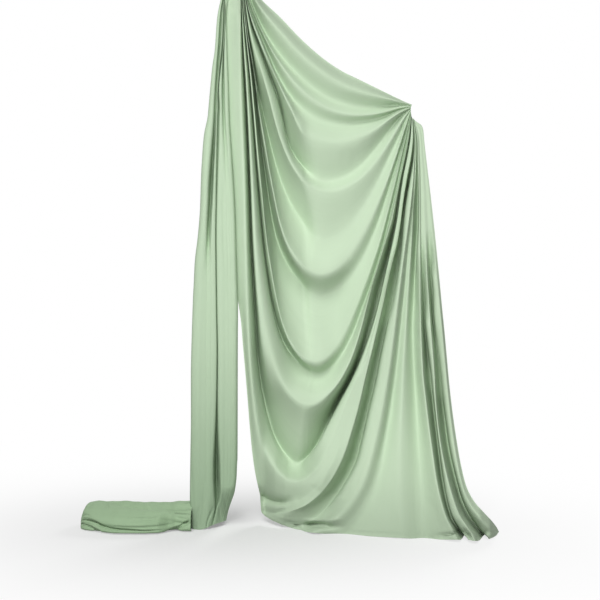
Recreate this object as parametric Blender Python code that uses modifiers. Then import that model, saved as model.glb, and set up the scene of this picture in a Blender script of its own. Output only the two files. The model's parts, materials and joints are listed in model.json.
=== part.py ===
"""Aerial silks on their ceiling rigging: one length of tricot doubled over a rescue eight.

Metres, +Z up, front toward -Y. The origin is the middle of the ceiling plate's top face.
The rigging hangs on the Z axis, and each link is turned a quarter round from the one above it.
"""

import math

import bmesh
import bpy
import numpy as np
from mathutils import Matrix, Vector

GAP = 0.0003  # left between pieces that touch
ROD_SIDES = 12
TURNED_STEPS = 24

# Ceiling anchor: a drilled plate with a bow of rod welded through it
PLATE_WIDTH = 0.120
PLATE_THICKNESS = 0.008
PLATE_CORNER = 0.010
PLATE_HOLE = 0.0105
PLATE_HOLE_SPACING = 0.090
PLATE_LEG_CLEARANCE = 0.0005
BOW_ROD = 0.012
BOW_RADIUS = 0.024
BOW_DROP = 0.054  # from the plate's top to the middle of the bow's rod
WELD_LEG = 0.004

# Oval screw link
LINK_ROD = 0.010
LINK_RADIUS = 0.016
LINK_STRAIGHT = 0.055
LINK_OPENING = 0.010
NUT_FLATS = 0.017
NUT_LENGTH = 0.024
NUT_TRAVEL = 0.015

# Ball-bearing swivel
EYE_ROD = 0.010
EYE_RADIUS = 0.015
HOUSING_RADIUS = 0.017
HOUSING_LENGTH = 0.032
HOUSING_BORE = 0.0132
HOUSING_ROOF = 0.0045
HOUSING_ROUND = 0.003
SHAFT_RADIUS = 0.0055
LOCKNUT_RADIUS = 0.0095
LOCKNUT_HEIGHT = 0.006
RACE_RADIUS = 0.0128
RACE_HEIGHT = 0.0034
BALL_COUNT = 8
BALL_DIAMETER = 0.005
BALL_CIRCLE = 0.0095
CAGE_HEIGHT = 0.0022
COVER_HEIGHT = 0.006
NECK_LENGTH = 0.005

# Screw-gate carabiner
CARABINER_ROD = 0.011
CARABINER_RADIUS = 0.021
CARABINER_STRAIGHT = 0.062
GATE_ROD = 0.010
TONGUE_THICKNESS = 0.004
TONGUE_WIDTH = 0.009
TONGUE_REACH = 0.0045  # past the hinge pin
NOSE_TONGUE = 0.0034
NOSE_REACH = 0.007
HINGE_SHOULDER = 0.0072
PIN_DIAMETER = 0.003
SLEEVE_RADIUS = 0.0075
SLEEVE_LENGTH = 0.018
SLEEVE_RIBS = 12

# Rescue eight
EIGHT_ROD = 0.011
EIGHT_SMALL_RADIUS = 0.0175
EIGHT_LARGE_ROD = 0.012
EIGHT_LARGE_RADIUS = 0.036
EIGHT_NECK = 0.024
EIGHT_NECK_RADIUS = 0.0075
EAR_LENGTH = 0.014
EAR_RADIUS = 0.0045

# Cloth
FALL = 2.93  # from the gather under the eight to the floor
GATHER_DROP = 0.021  # from the bottom of the eight's rod to the gather
PANEL_THICKNESS = 0.0112
STRAND_RADIUS = 0.011
STRAND_SIDES = 12

STEEL = ("galvanised steel", (0.62, 0.63, 0.64), 1.0, 0.42)
ALLOY = ("anodised alloy", (0.16, 0.17, 0.18), 1.0, 0.35)
BRIGHT = ("bright steel", (0.72, 0.72, 0.72), 1.0, 0.22)
SILK = ("silk tricot", (0.58, 0.70, 0.54), 0.0, 0.55)

# Places on the cloth's folds as shares of the fall, each (across, back, down) from the gather.
# The swags run from the held corner round to the gather, and the last one up the left selvedge.
# The fan runs from the held corner down to the hem.
# The picture that the cloth's folds are read from, in its pixels: the gather under the eight, the
# length of the fall, the distance of the eye and the middle of its view
PICTURE_GATHER = (240, -30)
PICTURE_FALL = 557
PICTURE_EYE = 950
PICTURE_MIDDLE = (300, 300)
# Each fold line of the spread tail in those pixels, from the held corner: first its depth as a
# share, above 0 where the fold comes toward the eye and below 0 in a valley, then its places.
# The last swag is the crease that the fan starts from, and past its corner the free edge.
SWAG_LINES = [
    (0, [(412, 104.6), (340, 70), (300, 38), (280, 17), (262, 0), (251, -16), (245.6, -30)]),
    (0.5, [(411.8, 105.1), (360, 91.5), (340, 83.5), (320, 71), (300, 54), (262, 10), (251.5, -8),
        (245.3, -30)]),
    (-0.6, [(411.5, 105.7), (400, 105.1), (370, 106.5), (350, 104), (330, 97.5), (310, 85),
        (290, 66), (262, 26), (247, -12), (245, -30)]),
    (0.35, [(411.3, 106.3), (400, 107.8), (370, 114.5), (350, 114.5), (330, 109.5), (312, 99.5),
        (297, 86), (273, 52.5), (252.2, 8), (246.3, -12), (244.7, -30)]),
    (-0.35, [(411.1, 106.9), (400, 109.6), (370, 120.5), (335, 122.8), (306, 111.7), (285, 87.5),
        (270.5, 58.5), (251.5, 12), (245.6, -10), (244.4, -30)]),
    (0.9, [(410.9, 107.6), (401, 112), (370, 132.8), (355, 139.5), (338, 143), (320, 140.5),
        (306, 134), (298, 124), (291.5, 110), (270, 64), (251.5, 18), (245.2, -9), (244.1, -30)]),
    (-1, [(410.8, 108.3), (393.5, 124.5), (362, 163.5), (333, 178.5), (320, 178), (307, 170),
        (290, 146.5), (277, 95), (251.5, 23), (244.9, -8), (243.8, -30)]),
    (0.55, [(410.8, 109.1), (404, 118), (377, 161), (364, 176), (349, 187), (334, 192.5),
        (320, 191.5), (306, 183.5), (295, 170), (280, 137), (263, 75), (255.5, 51), (244.6, -7),
        (243.5, -30)]),
    (-0.75, [(410.8, 110), (373, 189), (348, 224), (335, 233.5), (322, 236.5), (310, 229.5),
        (299, 216.5), (283, 186), (272, 150), (257.4, 89), (248.2, 33), (243.2, -30)]),
    (0.7, [(410.8, 111), (378.5, 202), (358, 243), (347, 259), (335, 269.5), (321, 273.8),
        (308, 269.5), (297, 259), (288.5, 246), (282.5, 231), (273.6, 193), (261.2, 122),
        (256.4, 87), (247.6, 33), (242.9, -30)]),
    (-1, [(410.9, 112), (401.5, 146.5), (375.5, 229), (358, 266), (348.5, 279.5), (336, 290),
        (321.5, 295.5), (309.5, 290.5), (299.5, 280.5), (290, 268), (282, 253), (276, 236),
        (271.5, 215), (264.9, 170), (256.9, 100), (247, 33), (242.6, -30)]),
    (0.85, [(411, 113), (407.2, 131), (403, 149), (398.5, 168), (393, 191), (387, 215),
        (380.5, 239), (373, 262), (365, 284), (356.5, 306), (347.5, 327), (338, 344.5),
        (327.5, 357), (315, 361.8), (301.5, 355.5), (290, 341), (282, 321.5), (276, 297),
        (271.5, 272), (267.5, 247), (264.7, 222), (262.4, 198), (259.8, 172), (257.4, 147),
        (255.4, 122), (253.4, 100), (251.3, 78), (247.8, 48), (244.9, 20), (242.9, -5),
        (242.3, -30)]),
    (-0.9, [(411.2, 114), (408.1, 133), (404.2, 152), (400, 172), (395, 194), (389.6, 217),
        (383.7, 241), (377, 264), (370, 286.5), (361.5, 310), (352, 335), (341, 355), (329, 369),
        (316, 374.7), (305.5, 369.3), (295, 359), (285.8, 346.5), (278.5, 329), (273, 308),
        (269.2, 287), (265.5, 262), (262.5, 237), (260, 210), (257.9, 185), (255.7, 157),
        (253.6, 129), (251.2, 100), (249.2, 74), (246.2, 45), (243.7, 18), (242.3, -5), (242, -30)]),
    (0.9, [(411.4, 115), (409, 135), (405.3, 155), (401.4, 175), (397, 197), (392, 220),
        (387, 243), (381.5, 265), (375.5, 287), (368.5, 310), (360, 336), (350, 362.5),
        (337, 385.5), (322.5, 399.5), (306.5, 404.8), (291, 395), (279, 376), (270.5, 351),
        (264.5, 325), (260.8, 300), (258, 272), (255.8, 245), (254.2, 218), (252.9, 190),
        (251.4, 160), (249.9, 130), (248.2, 102), (246.6, 76), (244.3, 46), (242.6, 18),
        (241.7, -5), (241.7, -30)]),
    (-1, [(411.6, 116), (410, 137), (407, 156), (403, 176), (399.2, 197), (394.6, 218),
        (389.8, 239), (385, 258), (380, 279), (374.8, 302), (368.5, 327), (360.8, 351.5),
        (351.8, 376), (342.5, 400.5), (331.5, 424), (320, 443.5), (309, 456), (297, 462.3),
        (285, 453.5), (275, 436.5), (267.3, 413), (261.5, 386), (257.5, 355), (255.8, 322),
        (254, 295), (252.3, 265), (250.9, 235), (250, 205), (248.9, 175), (247.7, 145),
        (246.5, 115), (245, 86), (243.2, 56), (241.9, 26), (241.2, -5), (241.3, -30)]),
    (0.7, [(411.9, 117), (411.2, 138), (408.6, 157), (405, 177), (401.2, 199), (397.2, 219),
        (393.2, 240), (389, 259.5), (384.8, 280), (380, 303), (374.6, 328), (368.6, 352),
        (361, 377.5), (352.8, 402.5), (343.5, 428), (333, 451), (320, 469.5), (304, 481),
        (288, 481), (274, 470), (264.5, 453), (258, 430), (253.8, 402), (250.9, 372),
        (248.9, 342), (247.6, 312), (246.7, 285), (246, 257), (245.3, 229), (244.6, 200),
        (243.7, 170), (242.5, 140), (241.3, 110), (240.4, 82), (240, 54), (240, 24), (240.3, -5),
        (240.8, -30)]),
    (-0.6, [(412.2, 118), (412.3, 139), (403.3, 200), (378.6, 329), (366, 378.5), (350.3, 429),
        (340.5, 453), (328.5, 473.5), (315, 489), (300, 499), (285, 502.8), (271, 500.2),
        (260, 494.8), (255.4, 474), (249.6, 425), (239.8, 298), (235.6, 200), (230.2, 118),
        (227.4, 22), (229.6, -5), (238.9, -30)]),
]
FAN_LINES = [
    (0.7, [(412.5, 118.3), (413, 139.5), (404.9, 201), (381.4, 330), (369.8, 379.5), (355.5, 431),
        (335.5, 478), (322, 494.5), (305, 506), (286, 512), (272, 513.5), (261.5, 512)]),
    (-0.25, [(412.7, 118.5), (413.6, 140), (406.2, 202), (378.9, 355.5), (359.3, 433),
        (340.2, 481), (327, 498.5), (311, 511), (294, 519.5), (279, 523.5), (266, 523)]),
    (0.2, [(412.9, 118.6), (413.95, 140.3), (407, 202.5), (385.3, 332), (375.2, 382), (362, 435),
        (343, 483), (315.5, 513.5), (287, 527.5), (277, 529)]),
    (-1, [(413.1, 118.7), (414.3, 140.6), (410.6, 181), (387.2, 333), (372, 410), (356.8, 463),
        (346.5, 485.5), (334, 502.5), (320.5, 515), (297, 530)]),
    (0.9, [(413.3, 118.8), (415, 141), (412.8, 182), (408, 225), (385.6, 388), (367.6, 467.5),
        (358.5, 490), (347, 507.5), (335.5, 519.5), (315, 533)]),
    (-0.5, [(413.5, 118.9), (415.6, 141.2), (411.1, 227), (399.1, 342), (389.9, 420),
        (379.7, 472), (372.7, 494.5), (357.5, 523.5), (348, 535)]),
    (0.5, [(413.7, 119), (416.1, 141.2), (414.6, 206.5), (404.8, 345), (399.3, 497.5), (400, 538)]),
    (-0.8, [(413.9, 119.2), (416.7, 141), (415.8, 230), (412.9, 299.5), (412.9, 349),
        (423.9, 527), (425.5, 539.2)]),
    (0.7, [(414.1, 119.4), (417.6, 138.6), (418.4, 159.7), (419.9, 230), (420.4, 301),
        (426, 403.5), (438.2, 502), (448, 539.8)]),
    (-0.9, [(414.4, 119.7), (418.9, 135.6), (420.1, 156.7), (421.3, 203.5), (421.6, 250.5),
        (430.3, 373.5), (441.5, 478.5), (450, 516.5), (463, 539.6)]),
    (0.7, [(414.7, 120.1), (420, 132.6), (421.6, 153.7), (428.5, 294), (432.8, 344.5),
        (447.5, 476.5), (458.5, 514.5), (474.5, 541)]),
    (-0.9, [(415.1, 120.5), (421, 130.1), (423.1, 150.7), (425, 173), (430.7, 268),
        (445.4, 424.5), (452.5, 475.5), (465.5, 512.5), (487, 539.5)]),
    (0.4, [(415.6, 120.9), (421.9, 128.4), (424.1, 147.7), (442.2, 334), (453.7, 442.5),
        (463.3, 489.5), (479.3, 516.5), (492.5, 530.5), (495.5, 536)]),
    (0, [(416.2, 121.4), (422.6, 127.4), (424.8, 145.7), (435.2, 236), (449.6, 386.5),
        (456.7, 440.5), (466.5, 486.5), (483, 511.5), (496.5, 527), (499, 532)]),
]
CREASE_CORNER = (260, 494.8)
SWAG_STEPS = 21
FAN_STEPS = 11
FOLD_DEPTH = 0.055
FOLD_WIDTH_SHARE = 1.4  # a narrow fold's depth, as a share of the gap to the next line
HELD_BACK = 0.060  # how far behind the hang line the corner is held
# Where the hem stands on the floor: (pixel across, share of its depth behind the hang line)
HEM_DEPTH = 0.31
HEM_SHARES = [
    (258, 0.32), (264, 0.39), (275, 0.0), (285, -0.19), (303, -0.345), (330, -0.415),
    (370, -0.645), (400, -0.74), (430, -0.84), (460, -0.87), (480, -1.0), (490, -0.87),
    (499, -0.345),
]
HEM_FROM, HEM_TO = 360, 540  # the pixels between which the cloth comes out to the hem
# The left tail's outline at each height, as shares of the fall: (down, left edge, right edge)
TAIL_EDGE_SHARES = [
    (0.000, -0.0105, -0.0026), (0.012, -0.0172, -0.0088), (0.026, -0.0250, -0.0165),
    (0.040, -0.0312, -0.0225), (0.058, -0.0358, -0.0250), (0.090, -0.0405, -0.0248),
    (0.126, -0.0437, -0.0240),
    (0.197, -0.0520, -0.0228), (0.269, -0.0590, -0.0202), (0.341, -0.0678, -0.0155),
    (0.413, -0.0716, -0.0111), (0.485, -0.0765, -0.0088), (0.557, -0.0829, -0.0066),
    (0.628, -0.0862, -0.0062), (0.700, -0.0880, -0.0056), (0.772, -0.0884, -0.0057),
    (0.844, -0.0890, -0.0060), (0.915, -0.0893, -0.0075), (0.960, -0.0893, -0.0132),
    (1.000, -0.0862, -0.0222),
]
# The tail's section: (share of its width, share of its depth, share of the pleats' depth)
TAIL_SECTION_SHARES = [
    (0.00, 0.40, 0.0), (0.05, 0.10, 0.0), (0.16, 0.00, 0.0), (0.24, 0.04, 0.0), (0.29, 0.20, 1.0),
    (0.34, 0.04, 0.0), (0.41, 0.00, 0.0), (0.48, 0.06, 0.0), (0.53, 0.20, 0.8), (0.58, 0.05, 0.0),
    (0.70, 0.00, 0.0), (0.80, 0.03, 0.3), (0.90, 0.02, 0.0), (0.98, 0.15, 0.0), (1.00, 0.45, 0.0),
    (0.97, 0.80, 0.0), (0.88, 0.97, 0.0), (0.76, 1.00, 0.0), (0.70, 0.90, -1.0), (0.63, 1.00, 0.0),
    (0.50, 1.00, 0.0), (0.43, 0.88, -1.0), (0.36, 1.00, 0.0), (0.22, 1.00, 0.0), (0.14, 0.90, -0.6),
    (0.08, 0.92, 0.0), (0.02, 0.75, 0.0),
]
TAIL_DEPTH = 0.115
TAIL_TOP_DEPTH = 0.026
TAIL_PLEAT_DEPTH = 0.035
TAIL_FULL_SHARE = 0.35  # of the fall, where the tail reaches its full depth
TAIL_FRONT = 0.061  # how far the tail's face stands in front of the hang line

# The folded length on the floor: (across, half depth, height) as shares of its own size
BUNDLE_LENGTH = 0.56
BUNDLE_DEPTH = 0.30
BUNDLE_HEIGHT = 0.125
BUNDLE_GAP = 0.0005
BUNDLE_STATIONS = [
    (0.000, 0.62, 0.55), (0.012, 0.86, 0.78), (0.050, 0.96, 0.90), (0.140, 1.00, 0.96),
    (0.300, 0.98, 0.94), (0.480, 1.00, 0.97), (0.660, 0.97, 0.94), (0.820, 0.98, 0.98),
    (0.940, 0.96, 1.00), (1.000, 0.92, 0.98),
]
# One section of it, (share of depth, share of height), with a groove at each turned edge
BUNDLE_SECTION_SHARES = [
    (-0.47, 0.00), (-0.50, 0.10), (-0.50, 0.22), (-0.455, 0.31), (-0.49, 0.40), (-0.49, 0.54),
    (-0.44, 0.63), (-0.465, 0.72), (-0.45, 0.84), (-0.38, 0.93), (-0.20, 0.97), (0.00, 0.95),
    (0.20, 0.99), (0.38, 1.00), (0.46, 0.94), (0.49, 0.80), (0.44, 0.66), (0.49, 0.52),
    (0.49, 0.40), (0.45, 0.31), (0.50, 0.20), (0.49, 0.00),
]

# The hitch: each strand rises behind the eight's bottom bar, comes forward through its ring and
# goes round the neck. (across, back, drop below the neck) in strand radii; the other is mirrored.
HITCH_PLACES = [
    (1.10, 0.12, 10.0), (1.10, 0.28, 9.7), (1.08, 1.45, 8.9), (1.06, 1.86, 8.0),
    (1.04, 1.25, 6.8), (1.08, 0.0, 5.7), (1.30, -1.20, 4.6), (1.62, -1.80, 3.4),
    (1.90, -1.74, 2.0), (1.95, -0.95, 0.75), (1.72, 0.25, 0.10), (1.15, 1.35, 0.0), (0.0, 1.74, 0.0),
]
# How wide and how deep the strand is at each of those places, in strand radii
HITCH_SIZES = [
    (1.04, 0.55), (1.02, 0.75), (0.98, 0.95), (0.96, 1.0), (0.96, 1.0), (0.98, 1.0), (1.0, 1.0),
    (1.0, 1.0), (0.98, 0.95), (0.95, 0.85), (0.95, 0.75), (0.95, 0.72), (0.95, 0.72),
]


def clear_scene():
    for thing in list(bpy.data.objects):
        bpy.data.objects.remove(thing, do_unlink=True)
    scene = bpy.context.scene
    scene.unit_settings.system = "METRIC"
    scene.unit_settings.scale_length = 1.0


def make_material(spec):
    name, colour, metallic, roughness = spec
    found = bpy.data.materials.get(name)
    if found:
        return found
    made = bpy.data.materials.new(name)
    made.use_nodes = True
    shader = made.node_tree.nodes["Principled BSDF"]
    shader.inputs["Base Color"].default_value = (*colour, 1.0)
    shader.inputs["Metallic"].default_value = metallic
    shader.inputs["Roughness"].default_value = roughness
    return made


def helper_collection():
    found = bpy.data.collections.get("cutters")
    if not found:
        found = bpy.data.collections.new("cutters")
        bpy.context.scene.collection.children.link(found)
        found.hide_render = True
    return found


def add_object(name, mesh, spec, helper=False):
    made = bpy.data.objects.new(name, mesh)
    if helper:
        helper_collection().objects.link(made)
        made.display_type = "WIRE"
        made.hide_render = True
    else:
        bpy.context.scene.collection.objects.link(made)
        made.data.materials.append(make_material(spec))
    return made


def from_bmesh(name, shape, spec=None, helper=False):
    bmesh.ops.recalc_face_normals(shape, faces=shape.faces)
    mesh = bpy.data.meshes.new(name)
    shape.to_mesh(mesh)
    shape.free()
    return add_object(name, mesh, spec, helper)


def stand_at(made, place):
    """Moves the origin to a joint's place without moving the shape."""
    made.data.transform(Matrix.Translation(-Vector(place)))
    made.location = place


def add_cylinder(shape, radius, start, end, sides=TURNED_STEPS):
    start, end = Vector(start), Vector(end)
    axis = end - start
    turn = axis.to_track_quat("Z", "X").to_matrix().to_4x4()
    bmesh.ops.create_cone(
        shape, cap_ends=True, segments=sides, radius1=radius, radius2=radius,
        depth=axis.length, matrix=Matrix.Translation((start + end) / 2) @ turn,
    )


def add_box(shape, centre, size):
    spread = Matrix.Diagonal((*size, 1.0))
    bmesh.ops.create_cube(shape, size=1.0, matrix=Matrix.Translation(centre) @ spread)


def boolean(made, other, operation):
    tool = made.modifiers.new(operation.lower(), "BOOLEAN")
    tool.operation = operation
    tool.object = other
    tool.solver = "EXACT"


def bevel(made, width, segments=1, degrees=40):
    tool = made.modifiers.new("bevel", "BEVEL")
    tool.width = width
    tool.segments = segments
    tool.limit_method = "ANGLE"
    tool.angle_limit = math.radians(degrees)


def turned(name, profile, spec=None, steps=TURNED_STEPS, helper=False):
    """A profile of (radius, height) turned about the Z axis. It is run clockwise, which leaves
    the faces pointing outward."""
    following = [*profile[1:], profile[0]]
    if sum(a[0] * b[1] - b[0] * a[1] for a, b in zip(profile, following)) > 0:
        profile = profile[::-1]
    mesh = bpy.data.meshes.new(name)
    ends_on_axis = profile[0][0] == 0
    edges = [(k, k + 1) for k in range(len(profile) - 1)]
    if not ends_on_axis:
        edges.append((len(profile) - 1, 0))
    mesh.from_pydata([(radius, 0.0, height) for radius, height in profile], edges, [])
    made = add_object(name, mesh, spec, helper)
    screw = made.modifiers.new("turn", "SCREW")
    screw.axis = "Z"
    screw.angle = math.tau
    screw.steps = steps
    screw.render_steps = steps
    screw.use_merge_vertices = True
    screw.merge_threshold = 1e-6
    return made


def arc(centre, radius, start, end, steps, plane):
    """Points of an arc in the XZ or YZ plane, by angles in degrees from across to up."""
    points = []
    for step in range(steps + 1):
        angle = math.radians(start + (end - start) * step / steps)
        across, up = radius * math.cos(angle), radius * math.sin(angle)
        offset = Vector((across, 0, up)) if plane == "XZ" else Vector((0, across, up))
        points.append(Vector(centre) + offset)
    return points


def rod(name, points, diameter, spec=None, closed=False, helper=False):
    """A round rod bent along the points, as a bevelled curve made into a mesh."""
    curve = bpy.data.curves.new(name + "_path", "CURVE")
    curve.dimensions = "3D"
    curve.bevel_depth = diameter / 2
    curve.bevel_resolution = (ROD_SIDES - 4) // 2
    curve.use_fill_caps = not closed
    spline = curve.splines.new("POLY")
    spline.points.add(len(points) - 1)
    for point, place in zip(spline.points, points):
        point.co = (*place, 1.0)
    spline.use_cyclic_u = closed
    guide = bpy.data.objects.new(name + "_path", curve)
    mesh = bpy.data.meshes.new_from_object(guide)
    bpy.data.objects.remove(guide)
    shape = bmesh.new()
    shape.from_mesh(mesh)
    bmesh.ops.remove_doubles(shape, verts=shape.verts, dist=1e-6)
    return from_bmesh(name, shape, spec, helper)


def ring(name, centre, radius, diameter, plane, spec=None, steps=28, helper=False):
    points = arc(centre, radius, 0, 360, steps, plane)[:-1]
    return rod(name, points, diameter, spec, closed=True, helper=helper)


def oval(middle, radius, straight, start, end):
    """Points round an oval in the YZ plane, from one height on the gate side down and round to
    another above it."""
    across = radius
    top, bottom = middle + straight / 2, middle - straight / 2
    points = [Vector((0, across, start))]
    points += arc((0, 0, bottom), radius, 0, -180, 12, "YZ")
    points += arc((0, 0, top), radius, 180, 0, 12, "YZ")
    points.append(Vector((0, across, end)))
    return points


def hanging(above, rod_above, rod_below):
    """The middle of a rod that hangs inside another, from the middle of that one."""
    return above + (rod_above + rod_below) / 2 + GAP


# Heights down the chain: each "top" and "foot" is the middle of a rod
BOW_FOOT = -BOW_DROP
LINK_TOP = hanging(BOW_FOOT, BOW_ROD, LINK_ROD)
LINK_MIDDLE = LINK_TOP - LINK_RADIUS - LINK_STRAIGHT / 2
LINK_FOOT = LINK_MIDDLE - LINK_STRAIGHT / 2 - LINK_RADIUS
UPPER_EYE = hanging(LINK_FOOT, LINK_ROD, EYE_ROD) - EYE_RADIUS
HOUSING_TOP = UPPER_EYE - EYE_RADIUS - EYE_ROD * 0.35
HOUSING_FOOT = HOUSING_TOP - HOUSING_LENGTH
LOWER_EYE = HOUSING_FOOT - NECK_LENGTH - EYE_RADIUS - EYE_ROD / 2
EYE_FOOT = LOWER_EYE - EYE_RADIUS
CARABINER_TOP = hanging(EYE_FOOT, EYE_ROD, CARABINER_ROD)
CARABINER_MIDDLE = CARABINER_TOP - CARABINER_RADIUS - CARABINER_STRAIGHT / 2
CARABINER_FOOT = CARABINER_MIDDLE - CARABINER_STRAIGHT / 2 - CARABINER_RADIUS
EIGHT_SMALL = hanging(CARABINER_FOOT, CARABINER_ROD, EIGHT_ROD) - EIGHT_SMALL_RADIUS
NECK_TOP = EIGHT_SMALL - EIGHT_SMALL_RADIUS - EIGHT_ROD / 2
NECK_MIDDLE = NECK_TOP - EIGHT_NECK / 2
EIGHT_LARGE = NECK_TOP - EIGHT_NECK - EIGHT_LARGE_ROD / 2 - EIGHT_LARGE_RADIUS
EIGHT_FOOT = EIGHT_LARGE - EIGHT_LARGE_RADIUS
GATHER = EIGHT_FOOT - EIGHT_LARGE_ROD / 2 - GATHER_DROP
FLOOR = GATHER - FALL


def build_anchor():
    shape = bmesh.new()
    add_box(shape, (0, 0, -PLATE_THICKNESS / 2), (PLATE_WIDTH, PLATE_WIDTH, PLATE_THICKNESS))
    upright = [e for e in shape.edges if abs(e.verts[0].co.z - e.verts[1].co.z) > GAP]
    bmesh.ops.bevel(
        shape, geom=upright, offset=PLATE_CORNER, segments=4, profile=0.5, affect="EDGES"
    )
    plate = from_bmesh("anchor_plate", shape, STEEL)
    holes = bmesh.new()
    reach = PLATE_THICKNESS * 2
    for x in (-1, 1):
        for y in (-1, 1):
            place = (x * PLATE_HOLE_SPACING / 2, y * PLATE_HOLE_SPACING / 2)
            add_cylinder(holes, PLATE_HOLE / 2, (*place, -reach), (*place, reach))
        leg = BOW_ROD / 2 + PLATE_LEG_CLEARANCE
        place = (x * BOW_RADIUS, 0)
        add_cylinder(holes, leg, (*place, -reach), (*place, reach))
    boolean(plate, from_bmesh("plate_holes", holes, helper=True), "DIFFERENCE")

    bend = BOW_FOOT + BOW_RADIUS
    inset = -PLATE_THICKNESS / 4
    points = [Vector((-BOW_RADIUS, 0, inset))]
    points += arc((0, 0, bend), BOW_RADIUS, 180, 360, 16, "XZ")
    points.append(Vector((BOW_RADIUS, 0, inset)))
    rod("anchor_bow", points, BOW_ROD, STEEL)

    inner = BOW_ROD / 2 + GAP
    under = -PLATE_THICKNESS - GAP
    for name, side in (("weld_left", -1), ("weld_right", 1)):
        profile = [
            (inner, under), (inner, under - WELD_LEG), (inner + WELD_LEG * 0.35, under - WELD_LEG),
            (inner + WELD_LEG, under - WELD_LEG * 0.35), (inner + WELD_LEG, under),
        ]
        stand = turned(name, profile, STEEL, steps=18)
        stand.location.x = side * BOW_RADIUS


def build_link():
    low = -LINK_STRAIGHT * 0.22
    body = rod(
        "link_body",
        oval(LINK_MIDDLE, LINK_RADIUS, LINK_STRAIGHT,
             LINK_MIDDLE + low, LINK_MIDDLE + low + LINK_OPENING),
        LINK_ROD, STEEL,
    )
    stand_at(body, (0, 0, BOW_FOOT))
    foot = LINK_MIDDLE + low - (NUT_LENGTH - LINK_OPENING) * 0.35
    shape = bmesh.new()
    place = Vector((0, LINK_RADIUS, 0))
    across_corners = NUT_FLATS / math.cos(math.pi / 6)
    add_cylinder(
        shape, across_corners / 2, place + Vector((0, 0, foot)),
        place + Vector((0, 0, foot + NUT_LENGTH)), sides=6,
    )
    nut = from_bmesh("link_nut", shape, STEEL)
    bevel(nut, 0.0012)
    bore = bmesh.new()
    add_cylinder(
        bore, LINK_ROD / 2 + GAP, place + Vector((0, 0, foot - NUT_LENGTH)),
        place + Vector((0, 0, foot + NUT_LENGTH * 2)),
    )
    boolean(nut, from_bmesh("nut_bore", bore, helper=True), "DIFFERENCE")
    stand_at(nut, (0, LINK_RADIUS, foot))


def build_swivel():
    cavity_top = HOUSING_TOP - HOUSING_ROOF
    outer, bore, edge = HOUSING_RADIUS, HOUSING_BORE, HOUSING_ROUND
    housing = turned("swivel_housing", [
        (0, cavity_top), (bore, cavity_top), (bore, HOUSING_FOOT), (outer - edge / 2, HOUSING_FOOT),
        (outer, HOUSING_FOOT + edge / 2), (outer, HOUSING_TOP - edge * 2),
        (outer - edge * 0.6, HOUSING_TOP - edge * 0.6), (outer - edge * 2, HOUSING_TOP),
        (0, HOUSING_TOP),
    ], STEEL)
    eye = ring("upper_eye", (0, 0, UPPER_EYE), EYE_RADIUS, EYE_ROD, "XZ", helper=True)
    boolean(housing, eye, "UNION")

    nut_top = cavity_top - GAP * 4
    nut_foot = nut_top - LOCKNUT_HEIGHT
    inner = SHAFT_RADIUS + GAP
    turned("swivel_locknut", [
        (inner, nut_top), (inner, nut_foot), (LOCKNUT_RADIUS, nut_foot), (LOCKNUT_RADIUS, nut_top),
    ], BRIGHT, steps=18)
    upper = nut_foot - GAP
    lower = upper - RACE_HEIGHT - BALL_DIAMETER - GAP * 2
    for name, top, bore_radius in (
        ("race_turning", upper, inner), ("race_fixed", lower, inner + GAP * 3),
    ):
        turned(name, [
            (bore_radius, top), (bore_radius, top - RACE_HEIGHT),
            (RACE_RADIUS, top - RACE_HEIGHT), (RACE_RADIUS, top),
        ], BRIGHT)
    balls = (upper - RACE_HEIGHT + lower) / 2
    for number in range(BALL_COUNT):
        angle = math.tau * number / BALL_COUNT
        shape = bmesh.new()
        bmesh.ops.create_uvsphere(
            shape, u_segments=8, v_segments=6, radius=BALL_DIAMETER / 2,
            matrix=Matrix.Translation(
                (BALL_CIRCLE * math.cos(angle), BALL_CIRCLE * math.sin(angle), balls)
            ),
        )
        from_bmesh(f"bearing_ball_{number + 1}", shape, BRIGHT)
    half = CAGE_HEIGHT / 2
    wall = (RACE_RADIUS - inner) * 0.42
    middle = BALL_CIRCLE
    cage = turned("bearing_cage", [
        (middle - wall, balls + half), (middle - wall, balls - half),
        (middle + wall, balls - half), (middle + wall, balls + half),
    ], BRIGHT)
    pockets = bmesh.new()
    for number in range(BALL_COUNT):
        angle = math.tau * number / BALL_COUNT
        place = (BALL_CIRCLE * math.cos(angle), BALL_CIRCLE * math.sin(angle))
        add_cylinder(
            pockets, BALL_DIAMETER / 2 + GAP, (*place, balls - CAGE_HEIGHT),
            (*place, balls + CAGE_HEIGHT), sides=12,
        )
    boolean(cage, from_bmesh("cage_pockets", pockets, helper=True), "DIFFERENCE")
    cover_top = lower - RACE_HEIGHT - GAP
    turned("swivel_cover", [
        (inner + GAP * 2, cover_top), (inner + GAP * 2, HOUSING_FOOT + GAP),
        (HOUSING_BORE - GAP, HOUSING_FOOT + GAP), (HOUSING_BORE - GAP, cover_top),
    ], STEEL)
    neck = LOWER_EYE + EYE_RADIUS
    shaft = turned("swivel_eye", [
        (0, nut_top), (SHAFT_RADIUS, nut_top), (SHAFT_RADIUS, HOUSING_FOOT - GAP * 2),
        (SHAFT_RADIUS * 1.5, HOUSING_FOOT - GAP * 5), (SHAFT_RADIUS * 1.3, neck), (0, neck),
    ], STEEL)
    eye = ring("lower_eye", (0, 0, LOWER_EYE), EYE_RADIUS, EYE_ROD, "XZ", helper=True)
    boolean(shaft, eye, "UNION")


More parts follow.
